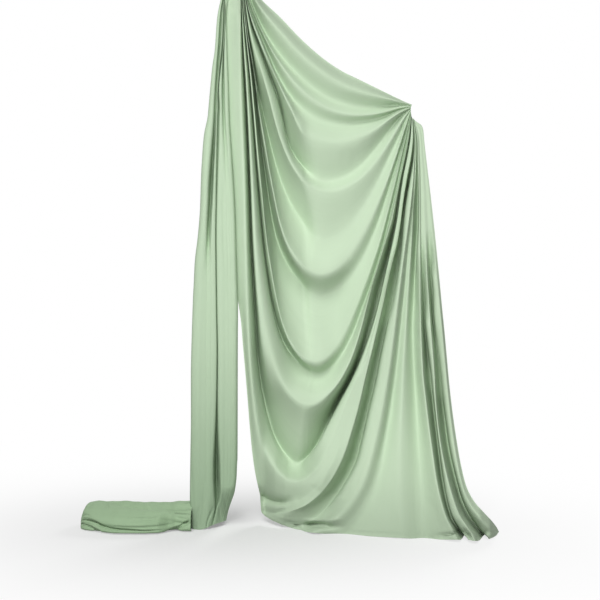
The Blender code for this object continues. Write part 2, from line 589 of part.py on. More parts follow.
def build_carabiner():
    across = CARABINER_RADIUS
    hinge = CARABINER_MIDDLE - CARABINER_STRAIGHT / 2 + HINGE_SHOULDER
    nose = CARABINER_MIDDLE + CARABINER_STRAIGHT / 2 - NOSE_REACH * 1.5
    body = rod(
        "carabiner_body",
        oval(CARABINER_MIDDLE, CARABINER_RADIUS, CARABINER_STRAIGHT,
             hinge - HINGE_SHOULDER + GAP, nose + NOSE_REACH),
        CARABINER_ROD, ALLOY,
    )
    fittings = bmesh.new()
    add_cylinder(fittings, GATE_ROD / 2, (0, across, nose), (0, across, nose + NOSE_REACH * 2))
    boolean(body, from_bmesh("nose_shank", fittings, helper=True), "UNION")
    tongues = bmesh.new()
    reach = HINGE_SHOULDER + TONGUE_REACH
    add_box(
        tongues, (0, across, hinge + TONGUE_REACH - reach * 0.75),
        (TONGUE_THICKNESS, TONGUE_WIDTH, reach * 1.5),
    )
    add_box(
        tongues, (0, across, nose - NOSE_REACH / 4),
        (NOSE_TONGUE, TONGUE_WIDTH * 0.9, NOSE_REACH * 1.5),
    )
    boolean(body, from_bmesh("tongues", tongues, helper=True), "UNION")
    pin_hole = bmesh.new()
    side = CARABINER_ROD
    add_cylinder(
        pin_hole, PIN_DIAMETER / 2 + GAP, (-side, across, hinge), (side, across, hinge), sides=12
    )
    pin_hole_object = from_bmesh("pin_hole", pin_hole, helper=True)
    boolean(body, pin_hole_object, "DIFFERENCE")
    stand_at(body, (0, 0, EYE_FOOT))

    shape = bmesh.new()
    gate_foot, gate_top = hinge - TONGUE_REACH, nose - GAP * 2
    add_cylinder(shape, GATE_ROD / 2, (0, across, gate_foot), (0, across, gate_top))
    gate = from_bmesh("carabiner_gate", shape, ALLOY)
    slots = bmesh.new()
    slot = TONGUE_REACH + math.hypot(TONGUE_WIDTH / 2, TONGUE_REACH) + GAP
    width = GATE_ROD * 1.5
    add_box(
        slots, (0, across, gate_foot),
        (TONGUE_THICKNESS + GAP * 2, width, slot * 2),
    )
    add_box(
        slots, (0, across, gate_top),
        (NOSE_TONGUE + GAP * 2, width, (NOSE_REACH + GAP * 3) * 2),
    )
    boolean(gate, from_bmesh("gate_slots", slots, helper=True), "DIFFERENCE")
    boolean(gate, pin_hole_object, "DIFFERENCE")
    stand_at(gate, (0, across, hinge))

    pin = bmesh.new()
    half = GATE_ROD / 2 * 0.92
    add_cylinder(pin, PIN_DIAMETER / 2, (-half, across, hinge), (half, across, hinge), sides=12)
    stand_at(from_bmesh("gate_pin", pin, BRIGHT), (0, across, hinge))

    sleeve_foot = hinge + TONGUE_REACH * 2.2
    inner = GATE_ROD / 2 + GAP
    sleeve = turned("gate_sleeve", [
        (inner, 0), (SLEEVE_RADIUS - GAP * 3, 0), (SLEEVE_RADIUS, GAP * 3),
        (SLEEVE_RADIUS, SLEEVE_LENGTH - GAP * 3), (SLEEVE_RADIUS - GAP * 3, SLEEVE_LENGTH),
        (inner, SLEEVE_LENGTH),
    ], BRIGHT)
    sleeve.location = (0, across, sleeve_foot)
    ribs = bmesh.new()
    for number in range(SLEEVE_RIBS):
        angle = math.tau * (number + 0.5) / SLEEVE_RIBS
        place = (SLEEVE_RADIUS * 1.04 * math.cos(angle), SLEEVE_RADIUS * 1.04 * math.sin(angle))
        add_cylinder(
            ribs, SLEEVE_RADIUS * 0.1,
            (place[0], across + place[1], sleeve_foot + SLEEVE_LENGTH * 0.2),
            (place[0], across + place[1], sleeve_foot + SLEEVE_LENGTH * 0.8), sides=6,
        )
    boolean(sleeve, from_bmesh("sleeve_grooves", ribs, helper=True), "DIFFERENCE")


def build_eight():
    eight = ring("rescue_eight", (0, 0, EIGHT_LARGE), EIGHT_LARGE_RADIUS, EIGHT_LARGE_ROD, "XZ",
                 ALLOY, steps=32)
    small = ring("eight_small", (0, 0, EIGHT_SMALL), EIGHT_SMALL_RADIUS, EIGHT_ROD, "XZ",
                 steps=24, helper=True)
    boolean(eight, small, "UNION")
    fittings = bmesh.new()
    add_cylinder(
        fittings, EIGHT_NECK_RADIUS, (0, 0, NECK_TOP + EIGHT_ROD * 0.6),
        (0, 0, NECK_TOP - EIGHT_NECK - EIGHT_LARGE_ROD * 0.6), sides=16,
    )
    boolean(eight, from_bmesh("eight_neck", fittings, helper=True), "UNION")
    ears = bmesh.new()
    for side in (-1, 1):
        lean = math.radians(20)
        way = Vector((side * math.cos(lean), 0, math.sin(lean)))
        start = Vector((0, 0, EIGHT_LARGE)) + way * EIGHT_LARGE_RADIUS
        add_cylinder(ears, EAR_RADIUS, start, start + way * EAR_LENGTH, sides=12)
    boolean(eight, from_bmesh("eight_ears", ears, helper=True), "UNION")
    stand_at(eight, (0, 0, CARABINER_FOOT))


def smoothed(places, per_step):
    """Points on a Catmull-Rom curve through the places."""
    ends = [2 * places[0] - places[1], *places, 2 * places[-1] - places[-2]]
    found = []
    for a, b, c, d in zip(ends, ends[1:], ends[2:], ends[3:]):
        for step in range(per_step):
            t = step / per_step
            found.append(
                0.5 * (2 * b + (c - a) * t + (2 * a - 5 * b + 4 * c - d) * t ** 2
                       + (3 * b - a - 3 * c + d) * t ** 3)
            )
    return [*found, places[-1]]


def evenly(points, count):
    """So many points at even steps along a smooth curve through these."""
    fine = np.array(smoothed([Vector(point) for point in points], 12))
    run = np.concatenate([[0], np.cumsum(np.linalg.norm(np.diff(fine, axis=0), axis=1))])
    want = np.linspace(0, run[-1], count)
    return np.stack([np.interp(want, run, fine[:, k]) for k in (0, 1)], axis=1)


def eased(start, end, value):
    share = np.clip((value - start) / (end - start), 0, 1)
    return share * share * (3 - 2 * share)


def hanging_depth(across, down):
    """How far back the cloth hangs at a pixel, before its folds."""
    middle, top = PICTURE_GATHER[0], PICTURE_MIDDLE[1]
    held = SWAG_LINES[0][1][0][0] - middle
    lifted = HELD_BACK * np.clip((across - middle) / held, 0, 1) * (1 - eased(top, HEM_TO, down))
    hem = HEM_DEPTH * np.interp(across, *zip(*HEM_SHARES))
    return lifted + hem * eased(HEM_FROM, HEM_TO, down) ** 1.25


def fold_depths(rows, kinds):
    """Each point's step off the cloth's lie: a fold is deep where the lines beside it are far."""
    gaps = np.linalg.norm(np.diff(rows, axis=0), axis=2) * FALL / PICTURE_FALL
    near = np.concatenate([gaps[:1], np.minimum(gaps[1:], gaps[:-1]), gaps[-1:]])
    return -np.array(kinds)[:, None] * np.minimum(FOLD_DEPTH, FOLD_WIDTH_SHARE * near)


def in_space(rows, depths):
    """The picture's points as places that the eye sees there, at these depths."""
    pixel = FALL / PICTURE_FALL
    away = 1 + depths / (PICTURE_EYE * pixel)
    middle = [PICTURE_MIDDLE[k] - PICTURE_GATHER[k] for k in (0, 1)]
    across = (middle[0] + (rows[..., 0] - PICTURE_MIDDLE[0]) * away) * pixel
    down = (middle[1] + (rows[..., 1] - PICTURE_MIDDLE[1]) * away) * pixel
    down = np.clip(down, 0, FALL)
    return [[Vector(p) for p in row] for row in np.stack([across, depths, GATHER - down], axis=2)]


def build_panel():
    """The spread tail: two grids of fold lines that meet along the crease, given a thickness."""
    last_kind, last_line = SWAG_LINES[-1]
    corner = last_line.index(CREASE_CORNER)
    crease = evenly(last_line[:corner + 1], FAN_STEPS)
    free_edge = evenly(last_line[corner:], SWAG_STEPS - FAN_STEPS + 1)
    swags = [evenly(line, SWAG_STEPS) for _, line in SWAG_LINES[:-1]]
    swags = np.array([*swags, np.concatenate([crease, free_edge[1:]])])
    fan = np.array([crease, *(evenly(line, FAN_STEPS) for _, line in FAN_LINES)])
    swag_depths = fold_depths(swags, [kind for kind, _ in SWAG_LINES])
    fan_depths = fold_depths(fan, [last_kind, *(kind for kind, _ in FAN_LINES)])
    # Both grids meet at the crease, and the free edge has no fold by the gather
    shared = np.minimum(swag_depths[-1][:FAN_STEPS], fan_depths[0])
    swag_depths[-1][:FAN_STEPS] = fan_depths[0] = shared
    swag_depths[-1][FAN_STEPS:] *= np.linspace(1, 0, SWAG_STEPS - FAN_STEPS)
    swags = in_space(swags, swag_depths + hanging_depth(swags[..., 0], swags[..., 1]))
    fan = in_space(fan, fan_depths + hanging_depth(fan[..., 0], fan[..., 1]))

    shape = bmesh.new()
    front = [[shape.verts.new(p) for p in row] for row in swags]
    rows = [front[-1][:FAN_STEPS], *([shape.verts.new(p) for p in row] for row in fan[1:])]
    for grid in (front, rows):
        for one, two in zip(grid, grid[1:]):
            for k in range(len(two) - 1):
                shape.faces.new((one[k], one[k + 1], two[k + 1], two[k]))
    made = bmesh.ops.extrude_face_region(shape, geom=list(shape.faces))
    moved = [v for v in made["geom"] if isinstance(v, bmesh.types.BMVert)]
    bmesh.ops.translate(shape, verts=moved, vec=(0, PANEL_THICKNESS, 0))
    return from_bmesh("silk_right_panel", shape, SILK)


def loft(name, sections):
    """A closed solid through sections of equal count, with a face over each end."""
    shape = bmesh.new()
    rows = [[shape.verts.new(p) for p in row] for row in sections]
    count = len(rows[0])
    for one, two in zip(rows, rows[1:]):
        for k in range(count):
            n = (k + 1) % count
            shape.faces.new((one[k], one[n], two[n], two[k]))
    shape.faces.new(rows[0])
    shape.faces.new(rows[-1])
    return from_bmesh(name, shape, SILK)


def build_tail():
    sections = []
    for down, left, right in TAIL_EDGE_SHARES:
        width = (right - left) * FALL
        grown = min(1.0, down / TAIL_FULL_SHARE)
        depth = TAIL_TOP_DEPTH + (TAIL_DEPTH - TAIL_TOP_DEPTH) * grown
        pleat = TAIL_PLEAT_DEPTH * grown
        front = -TAIL_TOP_DEPTH / 2 - (TAIL_FRONT - TAIL_TOP_DEPTH / 2) * grown
        sections.append([
            Vector((left * FALL + across * width, front + back * depth + pleats * pleat,
                    GATHER - down * FALL))
            for across, back, pleats in TAIL_SECTION_SHARES
        ])
    return loft("silk_left_tail", sections)


def build_bundle():
    right = TAIL_EDGE_SHARES[-2][1] * FALL - BUNDLE_GAP
    sections = []
    for along, depth, height in BUNDLE_STATIONS:
        sections.append([
            Vector((right - BUNDLE_LENGTH * (1 - along), back * BUNDLE_DEPTH * depth,
                    FLOOR + up * BUNDLE_HEIGHT * height))
            for back, up in BUNDLE_SECTION_SHARES
        ])
    return loft("silk_floor_bundle", sections)


def build_hitch():
    half = [Vector((-x * STRAND_RADIUS, y * STRAND_RADIUS, NECK_MIDDLE - z * STRAND_RADIUS))
            for x, y, z in HITCH_PLACES]
    sizes = [Vector((wide, deep)) * STRAND_RADIUS for wide, deep in HITCH_SIZES]
    places = half + [Vector((-p.x, p.y, p.z)) for p in reversed(half[:-1])]
    places[0].z = places[-1].z = GATHER + GAP
    places = smoothed(places, 2)
    sizes = smoothed(sizes + sizes[-2::-1], 2)
    # The frame is carried along the strand, so that its sides never twist
    side = Vector((1, 0, 0))
    rows = []
    for number, (place, size) in enumerate(zip(places, sizes)):
        if number in (0, len(places) - 1):
            along = Vector((0, 0, 1 if number == 0 else -1))
        else:
            along = (places[number + 1] - places[number - 1]).normalized()
        side = (side - along * side.dot(along)).normalized()
        other = along.cross(side)
        rows.append([
            place + side * math.cos(a) * size.x + other * math.sin(a) * size.y
            for a in (math.tau * k / STRAND_SIDES for k in range(STRAND_SIDES))
        ])
    return loft("silk_hitch", rows)


def main():
    clear_scene()
    build_anchor()
    build_link()
    build_swivel()
    build_carabiner()
    build_eight()
    build_hitch()
    build_panel()
    build_tail()
    build_bundle()
    print(f"gather at {GATHER:.4f}, floor at {FLOOR:.4f}")
    for name in ("BOW_FOOT", "LINK_FOOT", "EYE_FOOT", "CARABINER_FOOT", "EIGHT_FOOT"):
        print(name, round(globals()[name], 5))


main()
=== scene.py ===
# Aerial silks on their rigging: one long tricot cloth, doubled over a rescue eight
import json
import math
import bmesh
import bpy
import numpy as np
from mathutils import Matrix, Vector


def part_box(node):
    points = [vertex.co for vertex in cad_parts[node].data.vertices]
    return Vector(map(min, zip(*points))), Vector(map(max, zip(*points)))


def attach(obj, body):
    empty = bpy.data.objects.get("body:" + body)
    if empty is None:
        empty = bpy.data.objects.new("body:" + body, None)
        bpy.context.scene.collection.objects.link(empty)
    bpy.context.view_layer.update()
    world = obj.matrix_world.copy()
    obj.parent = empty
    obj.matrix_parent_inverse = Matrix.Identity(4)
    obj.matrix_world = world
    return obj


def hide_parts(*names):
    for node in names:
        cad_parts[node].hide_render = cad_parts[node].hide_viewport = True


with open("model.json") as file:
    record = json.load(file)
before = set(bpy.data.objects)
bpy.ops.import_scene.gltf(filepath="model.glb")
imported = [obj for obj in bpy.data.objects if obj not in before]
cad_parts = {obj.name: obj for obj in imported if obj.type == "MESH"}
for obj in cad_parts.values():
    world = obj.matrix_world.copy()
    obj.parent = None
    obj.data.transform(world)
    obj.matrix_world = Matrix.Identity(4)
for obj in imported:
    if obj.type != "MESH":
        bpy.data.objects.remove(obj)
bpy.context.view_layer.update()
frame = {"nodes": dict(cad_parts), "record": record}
print("frame loaded")

# The picture's own measures, in pixels at the hang line, and the cloth's fall in metres.
# Lines that are read off the picture are in these pixels.
look = {
    "gather": (240, -30), "fallPixels": 557, "eye": 950, "middle": (300, 300), "width": 600, "sensor": 36,
    "fall": 2.93, "gatherHeight": -0.4763, "floor": -3.4063, "clear": 0.0005,
}
pixel = look["fall"] / look["fallPixels"]
middleAcross, middleDown = (m - g for m, g in zip(look["middle"], look["gather"]))
eyeHeight = look["gatherHeight"] - middleDown * pixel


def stacked(*parts):  # coordinates side by side, all of one shape
    return np.stack(np.broadcast_arrays(*parts), axis=-1)


def inSpace(rows, back):  # pixels and metres behind the hang line, to places
    away = 1 + back / (look["eye"] * pixel)
    across = (middleAcross + (rows[..., 0] - look["middle"][0]) * away) * pixel
    down = (middleDown + (rows[..., 1] - look["middle"][1]) * away) * pixel
    height = np.maximum(look["gatherHeight"] - np.maximum(down, 0), look["floor"] + look["clear"])
    return stacked(across, back, height)


def smoothLine(points, steps=16):  # a Catmull-Rom curve through the points
    p = np.array(points, float)
    q = np.concatenate([[2 * p[0] - p[1]], p, [2 * p[-1] - p[-2]]])
    t = np.linspace(0, 1, steps, endpoint=False).reshape(-1, *[1] * (p.ndim - 1))
    fine = [0.5 * (2 * b + (c - a) * t + (2 * a - 5 * b + 4 * c - d) * t ** 2 + (3 * b - a - 3 * c + d) * t ** 3)
            for a, b, c, d in zip(q, q[1:], q[2:], q[3:])]
    return np.concatenate([*fine, p[-1:]])


def strides(points):  # from each point, or row of points, to the next
    return np.linalg.norm(np.diff(points, axis=0), axis=-1)


def lengthAlong(points):  # how far each point lies along a line
    return np.concatenate([[0], np.cumsum(strides(points))])


def evenly(points, places, steps=16):  # places on a smooth line: so many, or at these shares of its length
    fine = smoothLine(points, steps)
    run = lengthAlong(fine)
    want = np.linspace(0, run[-1], places) if np.isscalar(places) else np.asarray(places) * run[-1]
    return np.stack([np.interp(want, run, fine[:, k]) for k in range(fine.shape[1])], axis=1)


def acrossAt(points, rows):  # where a line that runs down the picture stands in each row
    fine = smoothLine(points)
    return np.interp(rows, fine[:, 1], fine[:, 0])


def eased(start, end, value):  # 0 up to the start, 1 from the end on
    share = np.clip((value - start) / (end - start), 0, 1)
    return share * share * (3 - 2 * share)


def smoothed(row, reach, **ends):  # a moving mean
    return np.convolve(np.pad(row, reach, **ends), np.ones(2 * reach + 1) / (2 * reach + 1), "valid")


def between(rows, shares):  # rows blended without overshoot: a monotone cubic across them
    rows = np.array(rows, float)
    step = np.diff(rows, axis=0)
    product, total = step[:-1] * step[1:], step[:-1] + step[1:]
    inner = np.where(product > 0, 2 * product / np.where(product > 0, total, 1), 0)
    slope = np.concatenate([step[:1], inner, step[-1:]])
    out = []
    for k in range(len(rows) - 1):
        for t in shares[:-1]:
            a, b = rows[k], rows[k + 1]
            out.append(a * (1 + 2 * t) * (1 - t) ** 2 + slope[k] * t * (1 - t) ** 2
                       + b * t * t * (3 - 2 * t) + slope[k + 1] * t * t * (t - 1))
    out.append(rows[-1])
    return np.array(out)


pressing = {"places": 40, "steps": 6, "ends": 0.12, "far": 1e3}  # how finely a crease is followed; how its ends fade


def creased(rows, back, creases):  # presses narrow lines into the cloth: (places, half width, depth), or lifts them
    for line, width, depth in creases:
        fine = evenly(line, pressing["places"], pressing["steps"])
        share = np.sin(np.linspace(pressing["ends"], math.pi - pressing["ends"], len(fine))) ** 0.5
        gap = np.full(back.shape, pressing["far"])
        strength = np.zeros(back.shape)
        for point, full in zip(fine, share):
            away = np.hypot(rows[..., 0] - point[0], rows[..., 1] - point[1])
            strength = np.where(away < gap, full, strength)
            gap = np.minimum(gap, away)
        back = back + depth * strength * np.exp(-(gap / width) ** 2)
    return back


weldGap = 0.00002


def clothMesh(name, grids):  # one mesh from grids of places, joined where their edges meet; uv in metres of cloth
    mesh = bmesh.new()
    uv = mesh.loops.layers.uv.new("cloth")
    for places, shift in grids:
        steps = (np.linalg.norm(np.diff(places, axis=k), axis=2).mean(axis=1 - k) for k in (0, 1))
        across, along = (np.concatenate([[0], np.cumsum(step)]) for step in steps)
        verts = [[mesh.verts.new(p) for p in row] for row in places]
        for i in range(len(verts) - 1):
            for j in range(len(verts[0]) - 1):
                corners = ((i, j), (i, j + 1), (i + 1, j + 1), (i + 1, j))
                face = mesh.faces.new([verts[a][b] for a, b in corners])
                for loop, (a, b) in zip(face.loops, corners):
                    loop[uv].uv = (across[a] + shift, along[b])
    bmesh.ops.remove_doubles(mesh, verts=mesh.verts, dist=weldGap)
    bmesh.ops.dissolve_degenerate(mesh, edges=mesh.edges, dist=weldGap)
    data = bpy.data.meshes.new(name)
    mesh.to_mesh(data)
    mesh.free()
    data.shade_smooth()
    piece = bpy.data.objects.new(name, data)
    bpy.context.collection.objects.link(piece)
    print(name, len(data.polygons), "faces,", round(sum(f.area for f in data.polygons), 2), "square metres")
    return piece


# The spread tail. Each fold line runs from the held corner to the gather, and its strength is above 0 where the
# fold comes toward the eye. The last swag is the crease that the fan starts from, and then the free edge.
spread = {
    "creaseCorner": (260, 494.8), "along": 420, "creaseAlong": 240,  # where the crease ends; places along the lines
    "steps": 9, "fanSteps": 7, "fineSteps": 60, "fanShift": 3,  # rows from line to line; the fan's place in the uv map
    "facingFrom": 12, "loosening": 0.15, "evenness": 0.3, "evened": 10,  # how each line's places follow the line below
    "steep": (0.45, 0.9), "turn": 25, "pullReach": 7,  # what counts as a leg, and how softly a strength changes
    "foldDepth": 0.085, "foldPerGap": 3.0, "deepest": 0.165,
    "crest": 5.0, "crestShares": (0.12, 0.75), "lean": (0.75, 0.5), "profile": 61,  # pixels of round crest
    "valley": 1.3, "bowlValley": 2.2, "valleyShares": (0.05, 0.4), "sharpFrom": 0.45, "sharpOver": 0.5,  # and of valley
    "slotGaps": (14, 34), "lip": 1.4, "lipShares": (0.12, 0.9), "lipSteep": 0.4, "wall": 0.38, "wallShift": 0.1,
    "heldAt": 412, "heldBack": 0.06, "liftedTo": (300, 540), "hemFrom": (360, 540), "hemBend": 1.25,
    "hem": [  # (across, how far back the cloth lies at the floor)
        (258, 0.1), (264, 0.12), (275, 0.0), (285, -0.06), (303, -0.107), (330, -0.129), (370, -0.2), (400, -0.23),
        (430, -0.26), (460, -0.27), (480, -0.31), (490, -0.27), (499, -0.107),
    ],
}
spread["swags"] = [  # (strengths in the bowl, down the right leg and down the left leg, places)
    ((-0.6, -0.3, -0.3), [(412, 104.6), (400, 99.5), (360, 80), (340, 70), (320, 56), (300, 38), (280, 17), (262, 0),
     (251, -16), (245.6, -30)]),
    ((0.26, 0.15, 0.35), [(411.8, 105.1), (360, 91.5), (340, 83.5), (320, 71), (300, 54), (280, 32), (262, 10),
     (251.5, -8), (245.3, -30)]),
    ((-0.33, -0.2, -0.4), [(411.5, 105.7), (400, 105.1), (370, 106.5), (350, 104), (330, 97.5), (310, 85), (290, 66),
     (274, 46), (262, 26), (252.5, 4), (247, -12), (245, -30)]),
    ((0.22, 0.12, 0.3), [(411.3, 106.3), (400, 107.8), (385, 111.8), (370, 114.5), (350, 114.5), (330, 109.5),
     (312, 99.5), (297, 86), (284, 69.5), (273, 52.5), (262, 31.5), (252.2, 8), (246.3, -12), (244.7, -30)]),
    ((-0.24, -0.12, -0.3), [(411.1, 106.9), (400, 109.6), (385, 116.2), (370, 120.5), (350, 123.2), (335, 122.8),
     (320, 119), (306, 111.7), (295, 101.3), (285, 87.5), (278, 75), (270.5, 58.5), (251.5, 12), (245.6, -10),
     (244.4, -30)]),
    ((0.45, 0.25, 0.7), [(410.9, 107.6), (401, 112), (390, 118.8), (380, 126.5), (370, 132.8), (355, 139.5),
     (338, 143), (320, 140.5), (306, 134), (298, 124), (291.5, 110), (285, 97), (270, 64), (251.5, 18), (245.2, -9),
     (244.1, -30)]),
    ((-0.3, -0.2, -1.2), [(410.8, 108.3), (402.5, 114.5), (393.5, 124.5), (384, 137), (374, 150), (362, 163.5),
     (348, 173.5), (333, 178.5), (320, 178), (307, 170), (296.5, 158.5), (290, 146.5), (285.5, 131), (281.8, 113),
     (277, 95), (270.5, 77), (261, 50), (251.5, 23), (244.9, -8), (243.8, -30)]),
    ((0.3, 0.2, 0.5), [(410.8, 109.1), (404, 118), (396, 131), (387, 146), (377, 161), (364, 176), (349, 187),
     (334, 192.5), (320, 191.5), (306, 183.5), (295, 170), (287, 155), (280, 137), (274.5, 118), (269.5, 98),
     (263, 75), (255.5, 51), (249.5, 25), (244.6, -7), (243.5, -30)]),
    ((-0.15, -0.1, -1.1), [(410.8, 110), (405, 121.5), (399, 136), (391, 153), (383, 170), (373, 189), (361, 208),
     (348, 224), (335, 233.5), (322, 236.5), (310, 229.5), (299, 216.5), (289.5, 201), (283, 186), (277.5, 170),
     (272, 150), (267, 129), (262, 107), (257.4, 89), (252.8, 60), (248.2, 33), (244.3, -4), (243.2, -30)]),
    ((0.6, 0.2, 0.8), [(410.8, 111), (406, 125), (400.5, 142), (394.5, 160), (387, 181), (378.5, 202), (369, 223),
     (358, 243), (347, 259), (335, 269.5), (321, 273.8), (308, 269.5), (297, 259), (288.5, 246), (282.5, 231),
     (278, 215), (273.6, 193), (269.3, 170), (265.3, 146), (261.2, 122), (258, 103), (256.4, 87), (252.1, 60),
     (247.6, 33), (243.9, -4), (242.9, -30)]),
    ((-0.6, -0.2, -1.4), [(410.9, 112), (406.4, 129), (401.5, 146.5), (396, 164.5), (389.5, 186), (383, 207.5),
     (375.5, 229), (367, 249), (358, 266), (348.5, 279.5), (336, 290), (321.5, 295.5), (309.5, 290.5), (299.5, 280.5),
     (290, 268), (282, 253), (276, 236), (271.5, 215), (268, 193), (264.9, 170), (261.9, 146), (259.1, 120),
     (256.9, 100), (255.2, 84), (251.4, 60), (247, 33), (243.5, -4), (242.6, -30)]),
    ((0.6, 0.2, 0.8), [(411, 113), (407.2, 131), (403, 149), (398.5, 168), (393, 191), (387, 215), (380.5, 239),
     (373, 262), (365, 284), (356.5, 306), (347.5, 327), (338, 344.5), (327.5, 357), (315, 361.8), (301.5, 355.5),
     (290, 341), (282, 321.5), (276, 297), (271.5, 272), (267.5, 247), (264.7, 222), (262.4, 198), (259.8, 172),
     (257.4, 147), (255.4, 122), (253.4, 100), (251.3, 78), (247.8, 48), (244.9, 20), (242.9, -5), (242.3, -30)]),
    ((-0.3, -0.15, -1.0), [(411.2, 114), (408.1, 133), (404.2, 152), (400, 172), (395, 194), (389.6, 217),
     (383.7, 241), (377, 264), (370, 286.5), (361.5, 310), (352, 335), (341, 355), (329, 369), (316, 374.7),
     (305.5, 369.3), (295, 359), (285.8, 346.5), (278.5, 329), (273, 308), (269.2, 287), (265.5, 262), (262.5, 237),
     (260, 210), (257.9, 185), (255.7, 157), (253.6, 129), (251.2, 100), (249.2, 74), (246.2, 45), (243.7, 18),
     (242.3, -5), (242, -30)]),
    ((1.05, 0.9, 0.95), [(411.4, 115), (409, 135), (405.3, 155), (401, 175), (396.6, 197), (392, 220), (385.2, 243),
     (378.5, 265), (371.8, 287), (366, 310), (359.3, 336), (350, 362.5), (337, 385.5), (322.5, 399.5), (306.5, 404.8),
     (291, 395), (279, 376), (270.5, 351), (264.5, 325), (260.8, 300), (258, 272), (255.8, 245), (254.2, 218),
     (252.9, 190), (251.4, 160), (249.9, 130), (248.2, 102), (246.6, 76), (244.3, 46), (242.6, 18), (241.7, -5),
     (241.7, -30)]),
    ((-1.5, -1.6, -1.8), [(411.6, 116), (410, 137), (406.8, 156), (402.6, 176), (399.2, 197), (396.4, 218),
     (392.2, 239), (388, 258), (383.3, 279), (378, 302), (371, 327), (362.6, 351.5), (352.4, 376), (339.5, 400.5),
     (327.5, 424), (317.5, 443.5), (307.5, 456), (297, 462.3), (285, 453.5), (275, 436.5), (267.3, 413), (261.5, 386),
     (257.5, 355), (255.8, 322), (254, 295), (252.3, 265), (250.9, 235), (250, 205), (248.9, 175), (247.7, 145),
     (246.5, 115), (245, 86), (243.2, 56), (241.9, 26), (241.2, -5), (241.3, -30)]),
    ((0.3, 0.7, 0.6), [(411.9, 117), (410.9, 138), (407.8, 157), (403.8, 177), (400.8, 199), (397.8, 219),
     (394.3, 240), (389.5, 259.5), (384.7, 280), (379.7, 303), (373.2, 328), (365.8, 352), (357, 377.5),
     (346.8, 402.5), (338, 428), (328.5, 451), (317, 469.5), (303, 481), (288, 481), (274, 470), (264.5, 453),
     (258, 430), (253.8, 402), (250.9, 372), (248.9, 342), (247.6, 312), (246.7, 285), (246, 257), (245.3, 229),
     (244.6, 200), (243.7, 170), (242.5, 140), (241.3, 110), (240.4, 82), (240, 54), (240, 24), (240.3, -5),
     (240.8, -30)]),
    ((-0.1, 0.7, 0.1), [(412.2, 118), (411.8, 139), (409, 158), (405.1, 178), (401.9, 200), (399.1, 220.5),
     (395.8, 241), (390.9, 260.5), (386.1, 281), (381.2, 304), (375, 329), (368.4, 353), (361.1, 378.5),
     (353.2, 403.5), (345, 429), (336.2, 453), (325.5, 473.5), (313.5, 489), (300, 499), (285, 502.8), (271, 500.2),
     (260, 494.8), (255.4, 474), (252.2, 452), (249.6, 425), (247.4, 397), (245, 369), (242.7, 343), (240.9, 321),
     (237.6, 298), (235.6, 280), (234.3, 256), (233.4, 228), (232, 200), (229.8, 165), (228, 140), (226.8, 118),
     (225.8, 85), (224.8, 50), (224.4, 22), (226.6, -5), (237.9, -30)]),
]
